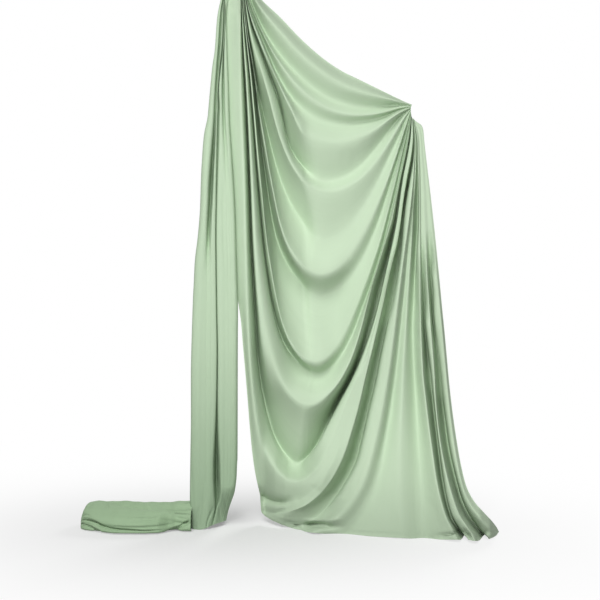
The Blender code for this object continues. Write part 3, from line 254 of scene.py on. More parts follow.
spread["fan"] = [  # (strengths down the picture, places)
    ([(0, 0.7), (440, 0.7), (500, 0.3), (600, 0.2)], [(412.5, 118.3), (412.8, 139.5), (410.5, 159), (406.6, 179),
     (403.1, 201), (400.5, 221.5), (397.2, 242), (392.4, 261.5), (387.6, 282), (382.8, 305), (376.9, 330),
     (371.2, 354), (365, 379.5), (359.2, 405), (352, 431), (343.8, 456), (332.6, 478), (319.5, 494.5), (304, 506),
     (286, 512), (272, 513.5), (261.5, 512)]),
    ([(0, -1.7), (460, -1.7), (510, -0.7), (540, -0.3)], [(413.1, 118.7), (414.1, 140.6), (412.4, 160.3), (409, 181),
     (405.3, 203), (403, 223.5), (401.1, 244), (398.6, 264), (395.2, 285), (390.8, 308), (385, 333), (379.7, 357.5),
     (374.7, 383.5), (368.2, 410), (362, 437), (355, 463), (343, 485.5), (331, 502.5), (319, 515), (308, 523),
     (301, 527), (297, 530)]),
    ([(0, 0.7), (250, 0.8), (500, 0.5)], [(413.3, 118.8), (415, 141), (414.2, 161), (412.8, 182), (410.6, 204),
     (408, 225), (405.1, 246), (402.2, 267), (399.4, 289), (396.4, 312), (393.2, 337), (389.8, 362), (385.6, 388),
     (380.7, 414.5), (374.6, 441.5), (367.6, 467.5), (358.5, 490), (347, 507.5), (335.5, 519.5), (326, 526.5),
     (319.5, 530.5), (315, 533)]),
    ([(0, 0.1), (290, 0.1), (390, -0.1), (460, -0.15), (540, -0.1)], [(413.5, 118.9), (415.6, 141.2), (415.2, 161.5),
     (414, 183), (412.2, 205.5), (410.3, 227), (408.2, 249), (406.4, 271), (404.1, 293.5), (401.7, 317), (399.1, 342),
     (396.2, 367.5), (393.2, 393.5), (389.9, 420), (385.2, 446.5), (379.7, 472), (372.7, 494.5), (364.5, 512.5),
     (357.5, 523.5), (352.5, 530), (349.5, 533), (348, 535)]),
    ([(0, 0.15), (300, 0.25), (400, 0.4), (540, 0.3)], [(413.7, 119), (416.1, 141.2), (416, 161.7), (415.2, 183.5),
     (413.4, 206.5), (412.4, 228.5), (411.2, 251), (409.6, 273.5), (407.8, 296.5), (406.3, 320), (404.8, 345),
     (403.4, 371), (402.3, 397.5), (401.2, 424), (400.2, 450), (399.6, 475), (399.3, 497.5), (399.3, 514.5),
     (399.5, 525.5), (399.7, 532), (399.9, 535.5), (400, 538)]),
    ([(0, -1.3), (230, -1.2), (290, -0.5), (340, -0.25), (540, -0.25)], [(413.9, 119.2), (416.7, 141), (416.9, 161.7),
     (417.6, 184), (417.9, 207.3), (417.4, 230), (416.2, 253), (415, 276), (413.9, 299.5), (412.6, 324), (412.9, 349),
     (414.2, 375), (416.1, 401), (417.9, 427.5), (419.4, 453.5), (420.7, 478.5), (421.9, 500.5), (423, 516.5),
     (423.9, 527), (424.6, 533), (425.1, 536.8), (425.5, 539.2)]),
    ([(0, 0.35), (260, 0.45), (330, 0.7), (540, 0.6)], [(414.1, 119.4), (417.6, 138.6), (418.4, 159.7), (419.1, 182.5),
     (419.6, 206.5), (419.9, 230), (420, 254), (420.1, 277.5), (420.4, 301), (421.1, 326), (422.1, 351), (423.6, 377),
     (426.6, 403.5), (429.8, 430), (433.4, 456), (437, 480.5), (441.8, 502), (447, 518), (452, 528), (455, 533.8),
     (457, 537.3), (458.5, 539.8)]),
    ([(0, 0), (235, 0), (270, -0.5), (330, -1.0), (380, -1.7), (540, -1.5)], [(414.4, 119.7), (418.9, 135.6),
     (420.1, 156.7), (421, 179.5), (421.3, 203.5), (421.4, 227), (421.6, 250.5), (422.7, 274), (424.3, 297.5),
     (424.9, 322), (427.2, 347.5), (430.2, 373.5), (433, 400.5), (436, 427.5), (439.2, 453.5), (442.6, 478.5),
     (446.8, 500.5), (451.6, 516.5), (457.4, 526.5), (461.8, 532.8), (464.6, 536.5), (466.6, 539.6)]),
    ([(0, 0.1), (240, 0.1), (330, 0.7), (540, 0.7)], [(414.7, 120.1), (420, 132.6), (421.6, 153.7), (423, 176.5),
     (424.1, 200), (425, 223.5), (425.9, 247), (427, 270.5), (428.5, 294), (430.3, 319), (432.4, 344.5), (434.4, 371),
     (435.8, 398.5), (438.4, 425.5), (442.2, 451.5), (447.4, 476.5), (453.6, 498.5), (459.6, 514.5), (465.8, 524.5),
     (470.4, 531.5), (473.4, 536.5), (475.5, 541)]),
    ([(0, 0), (230, 0), (275, -0.9), (320, -1.4), (380, -1.9), (540, -1.6)], [(415.1, 120.5), (421, 130.1),
     (423.1, 150.7), (425, 173), (426.7, 196.5), (428, 220), (429.2, 244), (430.7, 268), (432.6, 292), (433.6, 317),
     (436.4, 342.5), (439.3, 369), (442.2, 397), (445.6, 424.5), (449.4, 450.5), (455, 475.5), (461, 497),
     (468, 512.5), (474.4, 522.5), (480, 530), (484.5, 535), (487, 539.5)]),
    ([(0, 0.1), (240, 0.1), (330, 0.4), (540, 0.4)], [(415.6, 120.9), (421.9, 128.4), (424.1, 147.7), (426.4, 169),
     (428.7, 191.5), (430.9, 214.5), (433.1, 238), (435.3, 261), (437.5, 284.5), (439.8, 309), (442.2, 334),
     (444.6, 360.5), (447.2, 388.5), (450.2, 416.5), (453.7, 442.5), (458, 467.5), (463.3, 489.5), (470.8, 505.5),
     (479.3, 516.5), (487, 524.5), (492.5, 530.5), (495.5, 536)]),
    ([(0, 0), (540, 0)], [(416.2, 121.4), (422.6, 127.4), (424.8, 145.7), (427.3, 167), (430, 189.5), (432.6, 212.5),
     (435.2, 236), (437.5, 259), (439.8, 282.5), (442.1, 307), (444.6, 332), (447, 358.5), (449.6, 386.5),
     (452.9, 414.5), (456.7, 440.5), (461.1, 465.5), (466.5, 486.5), (474, 501), (483, 511.5), (491, 520),
     (496.5, 527), (499, 532)]),
]
spread["creases"] = [  # (places, half width, depth), less than 0 where the cloth is lifted
    ([(257.5, 489), (262, 495.5), (270, 500), (280, 502.2), (288, 501)], 3.2, 0.052),
    ([(262, 499), (272, 504), (284, 506.5), (296, 503)], 2.6, -0.016),
    ([(264, 511), (272, 513), (281, 511.5), (292, 506)], 3.0, 0.034),
    ([(278, 530.5), (290, 526), (300, 521.6)], 2.8, 0.05),
    ([(299, 523.2), (312, 520.8), (324, 519.6), (337, 519.2)], 1.6, -0.02),
    ([(306, 524.6), (314, 524.6), (324, 525.2), (334, 526.2)], 3.0, 0.062),
    ([(303, 531), (299, 527.5), (297, 523.5)], 1.2, 0.02),
    ([(306, 529.4), (330, 530.4), (350, 531.8), (380, 533.6), (410, 535.6), (436, 536.8)], 0.8, 0.006),
    ([(438, 537.6), (450, 534.8), (458, 532.4), (466, 529.4)], 1.3, 0.03),
    ([(465, 532), (468.5, 534.5), (471, 538.5)], 2.0, 0.045),
    ([(393, 385), (389.5, 410), (385.5, 434), (381, 458)], 2.2, 0.008),
    ([(413.5, 330), (414.5, 380), (416, 430), (419, 470)], 4.0, 0.01),
    ([(310, 486), (322, 492), (336, 494), (350, 490)], 2.0, 0.005),
    ([(430, 500), (436, 514), (443, 525)], 2.4, 0.006),
    ([(232.3, -20), (232.4, 0), (233, 45)], 0.8, 0.012),
    ([(237.5, -15), (237.8, 0), (239.5, 22)], 0.8, 0.012),
    ([(244, -10), (244.4, 10), (245.5, 30)], 0.8, 0.016),
    ([(322, 52), (345, 68), (370, 81), (395, 92)], 2.2, 0.006),
    ([(330, 150), (345, 156), (360, 158)], 2.4, 0.004),
    ([(300, 240), (312, 252), (326, 256)], 2.6, 0.004),
]


def hangingDepth(across, down):  # how far back the cloth hangs before its folds
    held = (across - look["gather"][0]) / (spread["heldAt"] - look["gather"][0])
    lifted = spread["heldBack"] * np.clip(held, 0, 1) * (1 - eased(*spread["liftedTo"], down))
    hem = np.interp(across, *zip(*spread["hem"]))
    return lifted + hem * eased(*spread["hemFrom"], down) ** spread["hemBend"]


def facing(line, places):  # places on a line that face the places of the line beside it
    fine = smoothLine(line, spread["fineSteps"])
    run = lengthAlong(fine)
    even = np.linspace(0, run[-1], len(places))
    away = np.linalg.norm(fine[None] - places[:, None], axis=2)
    want = run[np.argmin(np.hypot(away, spread["evenness"] * (run[None] - even[:, None])), axis=1)]
    want[0], want[-1] = 0, run[-1]
    want = smoothed(np.maximum.accumulate(want), spread["evened"], mode="reflect", reflect_type="odd")
    return evenly(line, want / run[-1], spread["fineSteps"])


def steepness(rows):  # 0 where a line lies level, as in a bowl, and 1 where it runs down a leg
    step = np.gradient(rows, axis=1)
    return eased(*spread["steep"], np.abs(step[..., 1]) / (np.linalg.norm(step, axis=2) + 1e-9))


def rightward(rows):  # 0 left of each line's lowest place and 1 right of it
    turn = spread["turn"]
    return np.array([eased(-turn, turn, row[:, 0] - row[np.argmax(row[:, 1]), 0]) for row in rows])


def swagStrengths(rows, table):  # each line's strength along it, from its bowl to its legs
    bowl, right, left = (np.array(column)[:, None] for column in zip(*table))
    pulls = bowl + steepness(rows) * (left + rightward(rows) * (right - left) - bowl)
    return np.array([smoothed(row, spread["pullReach"], mode="edge") for row in pulls])


def foldHeights(rows, strengths):  # how far each line stands toward the eye
    gaps = strides(rows) * pixel
    near = np.concatenate([gaps[:1], (gaps[1:] + gaps[:-1]) / 2, gaps[-1:]])
    return strengths * np.minimum(spread["foldDepth"], spread["foldPerGap"] * near)


def foldProfile(rows, heights, strengths, right, shares):  # round on a crest, sharp in a valley, a slot down a leg
    s = spread
    gaps = np.maximum(strides(rows), 1e-3)
    leg = steepness(rows)
    fine = np.linspace(0, 1, s["profile"])[:, None]
    out = []
    for k, gap in enumerate(gaps):
        crest = np.clip(s["crest"] / gap, *s["crestShares"])
        valley = np.clip((s["valley"] + s["bowlValley"] * (1 - leg[k])) / gap, *s["valleyShares"])
        lip = np.clip(s["lip"] / gap, *s["lipShares"])
        lean = s["lean"][0] + s["lean"][1] * fine
        slope = eased(0, 1, fine / valley) * eased(0, 1, (1 - fine) / crest) * lean
        climb = np.concatenate([np.zeros((1, len(gap))), np.cumsum((slope[1:] + slope[:-1]) / 2, axis=0)])
        climb /= climb[-1]
        deeper = np.maximum(-strengths[k], -strengths[k + 1])
        sharp = np.clip((deeper - s["sharpFrom"]) / s["sharpOver"], 0, 1)
        slot = (leg[k] + leg[k + 1]) / 2 * sharp * (1 - eased(*s["slotGaps"], gap)) * np.abs(2 * right[k] - 1)
        lipShare = s["lipSteep"] * (1 + right[k])
        for t in shares[:-1]:
            rising, falling = (np.array([np.interp(u, fine[:, 0], column) for column in climb.T]) for u in (t, 1 - t))
            falling = 1 - falling
            soft = eased(0, 1, t)
            steepUp = lipShare * eased(0, 1, t / lip) + (1 - lipShare) * (1 - (1 - t) ** 2)
            steepDown = eased((1 - right[k]) * s["wall"], 1, t + s["wallShift"] * right[k])
            rising = soft + sharp * (rising - soft) + slot * (steepUp - rising)
            falling = soft + sharp * (falling - soft) + slot * (steepDown - falling)
            share = np.where(heights[k + 1] > heights[k], rising, falling)
            out.append(heights[k] + (heights[k + 1] - heights[k]) * share)
    out.append(heights[-1])
    return np.array(out)


def swagRows():  # the swags as rows of places, from the top selvedge to the crease and the free edge
    lines = [places for _, places in spread["swags"]]
    corner = lines[-1].index(spread["creaseCorner"])
    along, creaseAlong, first = spread["along"], spread["creaseAlong"], spread["facingFrom"]
    crease = evenly(lines[-1][:corner + 1], creaseAlong)
    freeEdge = evenly(lines[-1][corner:], along - creaseAlong + 1)
    rows = [np.vstack([crease, freeEdge[1:]])]
    for line in reversed(lines[first:-1]):
        rows.append(facing(line, rows[-1]))
    shares = lengthAlong(rows[-1])
    shares = shares / shares[-1]
    for line in reversed(lines[:first]):
        shares = shares + spread["loosening"] * (np.linspace(0, 1, along) - shares)
        rows.append(evenly(line, shares, spread["fineSteps"]))
    return np.array(rows[::-1])


def makeSpreadTail():
    along, creaseAlong = spread["along"], spread["creaseAlong"]
    swags = swagRows()
    fan = np.array([swags[-1][:creaseAlong], *(evenly(line, creaseAlong) for _, line in spread["fan"])])
    swagPulls = swagStrengths(swags, [strengths for strengths, _ in spread["swags"]])
    fanPulls = [np.interp(row[:, 1], *zip(*strengths)) for row, (strengths, _) in zip(fan[1:], spread["fan"])]
    fanPulls = np.array([swagPulls[-1][:creaseAlong], *fanPulls])
    swagHeights, fanHeights = foldHeights(swags, swagPulls), foldHeights(fan, fanPulls)
    swagHeights[-1][:creaseAlong] = fanHeights[0] = np.maximum(swagHeights[-1][:creaseAlong], fanHeights[0])
    swagHeights[-1][creaseAlong:] *= np.linspace(1, 0, along - creaseAlong)
    grids = []
    for rows, heights, pulls, right, shift, steps in (
        (swags, swagHeights, swagPulls, rightward(swags), 0, spread["steps"]),
        (fan, fanHeights, fanPulls, np.ones(fan.shape[:2]), spread["fanShift"], spread["fanSteps"]),
    ):
        shares = 0.5 - 0.5 * np.cos(np.linspace(0, math.pi, steps + 1))
        fineRows = between(rows, shares)
        toward = foldProfile(rows, heights, pulls, right, shares)
        back = np.minimum(hangingDepth(fineRows[..., 0], fineRows[..., 1]) - toward, spread["deepest"])
        grids.append((inSpace(fineRows, creased(fineRows, back, spread["creases"])), shift))
    return clothMesh("spread_tail", grids)


# The hanging tail. Its edges and valleys run down the picture in pixels; its section is in metres behind its face.
hanging = {
    "top": -30, "bottom": 531.5, "rows": (24, 90, 36), "closeFrom": 470,  # in the gather, below it and at the foot
    "face": (0.013, 0.061), "depth": (0.026, 0.115), "fullAt": 165,  # at the gather, and where the tail is full
    "runs": 4, "runDepth": 0.058, "runStep": 0.0105, "runEnds": 0.06, "pleats": 21, "pleatDepth": 0.005,
    "clearance": (0.006, 0.0012), "valleyRoom": 0.3, "frontSteps": 5, "backSteps": 4, "sway": (0.012, 61),
    "footFrom": 465, "rearFoot": {"back": 0.12, "from": 490, "left": 206, "width": 24, "bend": 1.3},
    "left": [
        (234.2, -30), (230.4, -23.3), (226.1, -15.5), (222.6, -7.7), (220.4, 1), (218, 12), (216.5, 25), (214.8, 50),
        (212.5, 65), (211, 80), (208.7, 105), (207.5, 118), (204, 135), (202, 160), (201, 180), (200, 210), (198, 235),
        (195, 260), (194, 280), (193, 300), (192, 330), (191, 370), (191, 420), (190.5, 455), (190, 500), (191, 520),
        (192, 532),
    ],
    "right": [
        (238.6, -30), (235.2, -23.3), (230.9, -15.5), (227.6, -7.7), (226.1, 0), (226.6, 25), (227.2, 50), (228.5, 85),
        (229.5, 118), (230.8, 140), (232.5, 165), (234.3, 195), (235.5, 225), (236.3, 255), (237, 280), (237.9, 305),
        (237.7, 350), (237.5, 450), (237, 465), (236.3, 482), (234.4, 500), (231.5, 511), (228.5, 521), (226, 532),
    ],
    "leftEdge": [(0.08, 0.062), (0.008, 0.046), (0, 0.029), (0.03, 0.012)],  # (share of the width, back)
    "rightEdge": [(0, 0.03), (0.004, 0.044), (0.06, 0.055)],  # the same, from the right
    "crest": 0.42, "lastCrest": [(0.45, 0.0005), (0.72, 0.004), (0.9, 0.013)],
    "valleySection": [(-1, 0.002, 0.12), (-0.35, 0, 0.75), (0, 0, 1), (0.35, 0, 0.75), (1, 0.002, 0.12)],
    "backSection": [
        (0.97, 0.07), (1.0, 0.082), (0.985, 0.098), (0.93, 0.11), (0.86, 0.115), (0.79, 0.112), (0.755, 0.094),
        (0.72, 0.111), (0.62, 0.115), (0.54, 0.112), (0.505, 0.09), (0.47, 0.111), (0.38, 0.115), (0.3, 0.112),
        (0.265, 0.096), (0.23, 0.11), (0.15, 0.113), (0.07, 0.106), (0.015, 0.092), (0.0, 0.078), (0.03, 0.066),
    ],
    "foot": [(188, 531.5), (197, 530.6), (205, 528.6), (214, 524.5), (228, 520), (240, 515)],  # at the floor
}
hanging["valleys"] = [  # (places, depths down the same rows, half widths)
    ([(235.1, -30), (229.6, -18), (225, -8), (222.4, 5), (221, 20), (219.2, 50), (217, 80), (215.7, 100), (214.8, 120),
      (213.3, 150), (212, 170), (210.5, 200), (209.2, 220), (208.3, 240), (207.6, 265), (206.5, 330), (206, 420),
      (206, 532)],
     [(-30, 0.03), (0, 0.08), (60, 0.07), (110, 0.05), (150, 0.09), (185, 0.098), (220, 0.07), (250, 0.022),
      (280, 0.008), (400, 0.006), (532, 0.004)],
     [(0, 1.5), (120, 1.5), (150, 2.2), (185, 2.6), (220, 2.2), (240, 2.4), (270, 4), (532, 5)]),
    ([(236.3, -30), (232.6, -23), (229.5, -16), (226.6, -8), (224.5, 0), (223.8, 30), (222.5, 50), (220, 70),
      (218.3, 90), (218.8, 105), (218.3, 120), (217.7, 150), (216.5, 200), (216, 240), (216.7, 310), (217.3, 350),
      (216.8, 410), (216.5, 440), (216.6, 475), (217, 500), (215.5, 515), (212, 532)],
     [(-30, 0.03), (0, 0.09), (60, 0.08), (120, 0.05), (170, 0.035), (250, 0.035), (330, 0.035), (400, 0.05),
      (430, 0.07), (460, 0.1), (480, 0.1), (500, 0.07), (515, 0.03), (532, 0.01)],
     [(0, 1.8), (60, 1.7), (120, 1.3), (200, 0.9), (400, 1.1), (430, 1.8), (460, 3.0), (485, 4.2), (500, 3.0),
      (515, 1.2)]),
    ([(237, -30), (232.8, -20), (228.3, -8), (226, 10), (224.4, 40), (223.3, 65), (223.2, 95), (224, 125),
      (225.5, 155), (226.5, 190), (227.5, 240), (228.5, 300), (228.5, 420), (227.5, 490), (223.5, 515), (219.5, 532)],
     [(-30, 0.01), (0, 0.085), (50, 0.08), (100, 0.04), (140, 0.018), (190, 0.004), (532, 0.002)],
     [(0, 1.5), (100, 1.8), (190, 4), (532, 5)]),
]
hanging["creases"] = [
    ([(196.5, 532), (195.6, 525), (197, 517), (199, 508)], 1.0, 0.007),
    ([(206.5, 529), (207.4, 522), (210, 515), (214, 507)], 0.9, 0.01),
    ([(192.8, 505), (192.2, 490), (191.6, 470)], 0.7, 0.006),
    ([(221, 522), (219.5, 512), (218.5, 500)], 1.2, 0.006),
    ([(226.5, 519), (225.8, 508), (224, 495)], 1.2, 0.004),
    ([(201, 525), (203.5, 505), (204, 480)], 1.6, 0.003),
    ([(195.2, 250), (194.6, 320), (194, 400), (193.5, 450)], 1.3, 0.003),
    ([(231, 180), (232, 240), (232.5, 300)], 1.2, 0.002),
    ([(221, 150), (222.5, 200), (223.5, 260)], 1.3, 0.0025),
]


def tailFront(rows, left, right):  # the front's lines down the tail, with a deep valley between its folds
    tail = hanging
    width = right - left
    lines = [(left + share * width, back) for share, back in tail["leftEdge"]]
    grooves, last = [], left
    for places, depths, widths in tail["valleys"]:
        x = acrossAt(places, rows)
        depth = np.interp(rows, *zip(*depths))
        half = np.minimum(np.interp(rows, *zip(*widths)), tail["valleyRoom"] * (x - last))
        lines.append((last + tail["crest"] * (x - last), 0.0))
        lines += [(x + side * half, lip + share * depth) for side, lip, share in tail["valleySection"]]
        grooves.append((x, depth, half))
        last = x
    lines += [(last + share * (right - last), back) for share, back in tail["lastCrest"]]
    lines += [(right - share * width, back) for share, back in tail["rightEdge"]]
    return lines, grooves


def tailInner(rows, left, width, grooves):  # the hidden pleats, run by run from side to side
    tail = hanging
    inner = []
    clear, clearStep = tail["clearance"]
    for run in range(tail["runs"]):
        for k in range(2 * tail["pleats"] + 1):
            share = k / (2 * tail["pleats"])
            share = share if run % 2 else 1 - share
            x = left + (tail["runEnds"] + (1 - 2 * tail["runEnds"]) * share) * width
            v = tail["runDepth"] + tail["runStep"] * run + tail["pleatDepth"] * (1 if k % 2 else -1)
            for middle, depth, half in grooves:  # the runs make way for a deep valley
                near = 1 - eased(half, 2 * half + 1, np.abs(x - middle))
                v = np.maximum(v, (depth + clear + clearStep * run) * near)
            inner.append((x, v))
    return inner


def makeHangingTail():
    tail = hanging
    top, bottom, close = tail["top"], tail["bottom"], tail["closeFrom"]
    gathered, hung, foot = tail["rows"]
    rows = np.concatenate([np.linspace(top, 0, gathered, endpoint=False), np.linspace(0, close, hung, endpoint=False),
                           np.linspace(close, bottom, foot)])
    left, right = acrossAt(tail["left"], rows), acrossAt(tail["right"], rows)
    width = right - left
    grown = np.clip((rows - top) / (tail["fullAt"] - top), 0, 1)
    face, full = (a + (b - a) * grown for a, b in (tail["face"], tail["depth"]))
    frontLines, grooves = tailFront(rows, left, right)
    sway = tail["sway"][0] * np.sin(rows / tail["sway"][1])
    backLines = [(left + np.clip(share + sway * (0.2 < share < 0.8), 0, 1) * width, back)
                 for share, back in tail["backSection"]]
    front, inner, back = (np.array([stacked(x, v) for x, v in lines])
                          for lines in (frontLines, tailInner(rows, left, width, grooves), backLines))
    front = smoothLine(front, tail["frontSteps"])
    path = np.concatenate([front, inner, smoothLine(back, tail["backSteps"])])
    spots = stacked(path[..., 0], rows)
    onFloor = np.interp(spots[..., 0], *zip(*tail["foot"]))
    spots[..., 1] -= (bottom - onFloor) * eased(tail["footFrom"], bottom, spots[..., 1])
    rear = tail["rearFoot"]
    across = np.clip((spots[..., 0] - rear["left"]) / rear["width"], 0, 1) ** rear["bend"]
    depth = path[..., 1] * full / tail["depth"][1] - face + rear["back"] * eased(rear["from"], bottom, rows) * across
    depth[:len(front)] = creased(spots, depth, tail["creases"])[:len(front)]
    return clothMesh("hanging_tail", [(inSpace(spots, depth), 0)])


# The folded end on the floor: sections across it, from its left end to behind the hanging tail
bundle = {
    "left": 82, "right": 193, "stations": 110, "spacing": 1.25, "endRound": 7.5, "endReach": 0.0004,
    "ends": {"depth": 0.35, "height": 0.3, "low": 0.75}, "lowTo": 0.15,  # what is left of the section at the round end
    "front": [
        (82, 0.075), (86, 0.085), (92, 0.103), (101, 0.134), (120, 0.176), (150, 0.186), (163, 0.168), (171, 0.122),
        (178, 0.104), (185, 0.116), (193, 0.12),
    ],
    "top": [
        (82, 0.118), (88, 0.124), (96, 0.128), (110, 0.1265), (130, 0.125), (150, 0.1245), (165, 0.127), (178, 0.131),
        (193, 0.133),
    ],
    "back": [(82, 0.105), (100, 0.135), (150, 0.145), (193, 0.148)],
    "section": [  # (depth as a share of the front's or the back's, height as a share of the top's)
        (0.6, 0.012), (0.84, 0.025), (0.985, 0.1), (0.99, 0.2), (0.93, 0.31), (0.95, 0.42), (0.9, 0.56), (0.8, 0.69),
        (0.64, 0.81), (0.42, 0.905), (0.12, 0.98), (-0.22, 1.0), (-0.52, 0.965), (-0.78, 0.88), (-0.94, 0.72),
        (-0.99, 0.52), (-0.94, 0.38), (-0.99, 0.24), (-0.96, 0.08), (-0.8, 0.012),
    ],
    "layers": 4, "lowest": 0.12, "layerStep": 0.17, "layerSides": 0.86, "pleats": 30, "pleatShare": 0.055,
    "ripples": [(0.012, 0.21, 1), (0.008, 0.47, 0)],  # (size, per pixel, shift)
    "rear": {"lower": 0.07, "from": (125, 160), "behind": (0.02, 0.1), "at": 0.11},  # the rear layers lie lower
    "steps": 6, "middle": 0.045, "creasedTo": -0.3, "clear": 0.0008,
}
bundle["creases"] = [
    ([(82.4, 519.8), (90, 519.4), (100, 522.4), (110, 527.6), (120, 529.8), (134, 531), (150, 531.8),
     (164, 530.8)], 1.5, 0.026),
    ([(82.6, 524.6), (88, 526), (95, 527.8), (100, 530), (105, 532)], 1.4, 0.03),
    ([(83, 512), (86, 514), (92, 515)], 1.1, 0.008),
    ([(101.5, 500.5), (104.5, 502), (108, 505), (110.5, 507.5)], 1.3, 0.008),
    ([(112, 500.5), (120, 503), (134, 505), (150, 506.8), (172, 509.5), (190, 513)], 2.2, 0.028),
    ([(150, 503), (165, 504.5), (180, 506.5), (192, 508)], 2.6, 0.026),
    ([(124, 510), (133, 514), (146, 516.5), (160, 517.5)], 1.8, 0.004),
    ([(138, 521), (155, 519.5), (172, 521), (189, 524)], 1.7, 0.006),
    ([(160, 500), (168, 499.6), (178, 500.5), (190, 502)], 1.2, 0.006),
    ([(170, 532.5), (178, 529), (184, 527), (191, 521)], 1.6, 0.03),
    ([(84, 509), (88, 506.8), (93, 506)], 1.0, 0.006),
    ([(118, 525), (135, 525.6), (155, 525.4)], 2.6, -0.005),
    ([(176, 516), (184, 518.5), (191, 519)], 1.4, 0.006),
]


def makeFloorBundle():
    b = bundle
    spots = b["left"] + (b["right"] - b["left"]) * (np.linspace(0, 1, b["stations"]) ** b["spacing"])
    reach = np.sqrt(np.clip(1 - (1 - np.clip((spots - b["left"]) / b["endRound"], 0, 1)) ** 2, b["endReach"], 1))
    ends = {name: share + (1 - share) * reach for name, share in b["ends"].items()}
    front, top, back = (np.interp(spots, *zip(*b[side])) for side in ("front", "top", "back"))
    outer = smoothLine(b["section"], b["steps"])
    path = list(outer)
    for layer in range(b["layers"]):  # folded to and fro inside, under the outer turn
        for k in range(b["pleats"] + 1):
            side = b["layerSides"] * (1 - 2 * k / b["pleats"]) * (1 if layer % 2 else -1)
            path.append((side, b["lowest"] + b["layerStep"] * layer + b["pleatShare"] * (1 if k % 2 else -1)))
    forward, upward = np.array(path).T[:, :, None]
    ripple = 1 + sum(size * np.sin(spots * often + shift) for size, often, shift in b["ripples"])
    depth = -forward * np.where(forward > 0, front, back) * ends["depth"]
    height = upward * top * ripple * np.where(upward > b["lowTo"], ends["height"], ends["low"])
    rear = b["rear"]
    behind = eased(*rear["behind"], depth + 0.5 * (height - rear["at"]))
    height = height * (1 - rear["lower"] * eased(*rear["from"], spots) * behind)
    away = (look["eye"] * pixel + depth) / look["eye"]
    down = look["middle"][1] + (eyeHeight - look["floor"] - height) / away
    places = stacked(spots, down)
    pressed = creased(places, np.zeros(down.shape), b["creases"])
    pressed[len(outer):] = 0
    pressed[:len(outer)][outer[:, 0] < b["creasedTo"]] = 0
    # A crease is pressed in toward the section's middle, which lies low.
    size = np.hypot(depth, height - b["middle"]) + 1e-6
    depth, height = depth - pressed * depth / size, height - pressed * (height - b["middle"]) / size
    across = (spots - look["gather"][0]) * pixel
    places = stacked(across, depth, look["floor"] + np.maximum(height, b["clear"]))
    return clothMesh("floor_bundle", [(places, 0)])


# The hitch on the eight: each strand rises behind the bottom bar, comes through the ring and goes round the neck
hitch = {
    "radius": 0.011, "sides": 90, "steps": 6, "pleats": 9, "pleatDepth": 0.13, "pleatSharp": 0.7, "pleatTop": 1.1,
    "waves": (0.25, 5, 17), "drift": (0.5, 11),  # broader folds among the pleats, and how the pleats wander
    "places": [  # across, back and below the neck, in strand radii; the other strand is mirrored
        (1.1, 0.12, 10.0), (1.1, 0.28, 9.7), (1.08, 1.45, 8.9), (1.06, 1.86, 8.0), (1.04, 1.25, 6.8), (1.08, 0.0, 5.7),
        (1.3, -1.2, 4.6), (1.62, -1.8, 3.4), (1.9, -1.74, 2.0), (1.95, -0.95, 0.75), (1.72, 0.25, 0.1),
        (1.15, 1.35, 0.0), (0.0, 1.74, 0.0),
    ],
    "sizes": [
        (1.04, 0.55), (1.02, 0.75), (0.98, 0.95), (0.96, 1.0), (0.96, 1.0), (0.98, 1.0), (1.0, 1.0), (1.0, 1.0),
        (0.98, 0.95), (0.95, 0.85), (0.95, 0.75), (0.95, 0.72), (0.95, 0.72),
    ],
}


def makeHitch():
    h = hitch
    half = [(-x * h["radius"], y * h["radius"], -z * h["radius"]) for x, y, z in h["places"]]
    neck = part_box("silk_hitch")[0][2] - half[0][2]
    places = smoothLine(half + [(-x, y, z) for x, y, z in half[-2::-1]], h["steps"]) + np.array((0, 0, neck))
    sizes = smoothLine(h["sizes"] + h["sizes"][-2::-1], h["steps"]) * h["radius"]
    angles = np.linspace(0, math.tau, h["sides"] + 1)
    waveSize, waveCount, waveTurn = h["waves"]
    side = Vector((1, 0, 0))
    rows = []
    for k, (place, size) in enumerate(zip(places, sizes)):
        if k in (0, len(places) - 1):
            along = Vector((0, 0, 1 if k == 0 else -1))
        else:
            along = (Vector(places[k + 1]) - Vector(places[k - 1])).normalized()
        side = (side - along * side.dot(along)).normalized()
        other = along.cross(side)
        drift = h["drift"][0] * math.sin(k / h["drift"][1])
        fold = np.abs(np.cos(angles * h["pleats"] / 2 + drift)) ** h["pleatSharp"]
        fold = fold + waveSize * np.cos(angles * waveCount + k / waveTurn)
        reach = np.minimum(1 - h["pleatDepth"] * (h["pleatTop"] - fold), 1.0)
        rows.append([Vector(place) + side * math.cos(a) * size[0] * r + other * math.sin(a) * size[1] * r
                     for a, r in zip(angles, reach)])
    return clothMesh("hitch", [(np.array(rows).transpose(1, 0, 2), 0)])


class Shade:  # a socket, so that shader maths is written as Python expressions
    def __init__(self, nodes, socket):
        self.nodes, self.socket = nodes, socket

    def __add__(self, other): return self.nodes.maths("ADD", self, other)
    def __mul__(self, other): return self.nodes.maths("MULTIPLY", self, other)
    def __rsub__(self, other): return self.nodes.maths("SUBTRACT", other, self)
    def __rpow__(self, other): return self.nodes.maths("POWER", other, self)


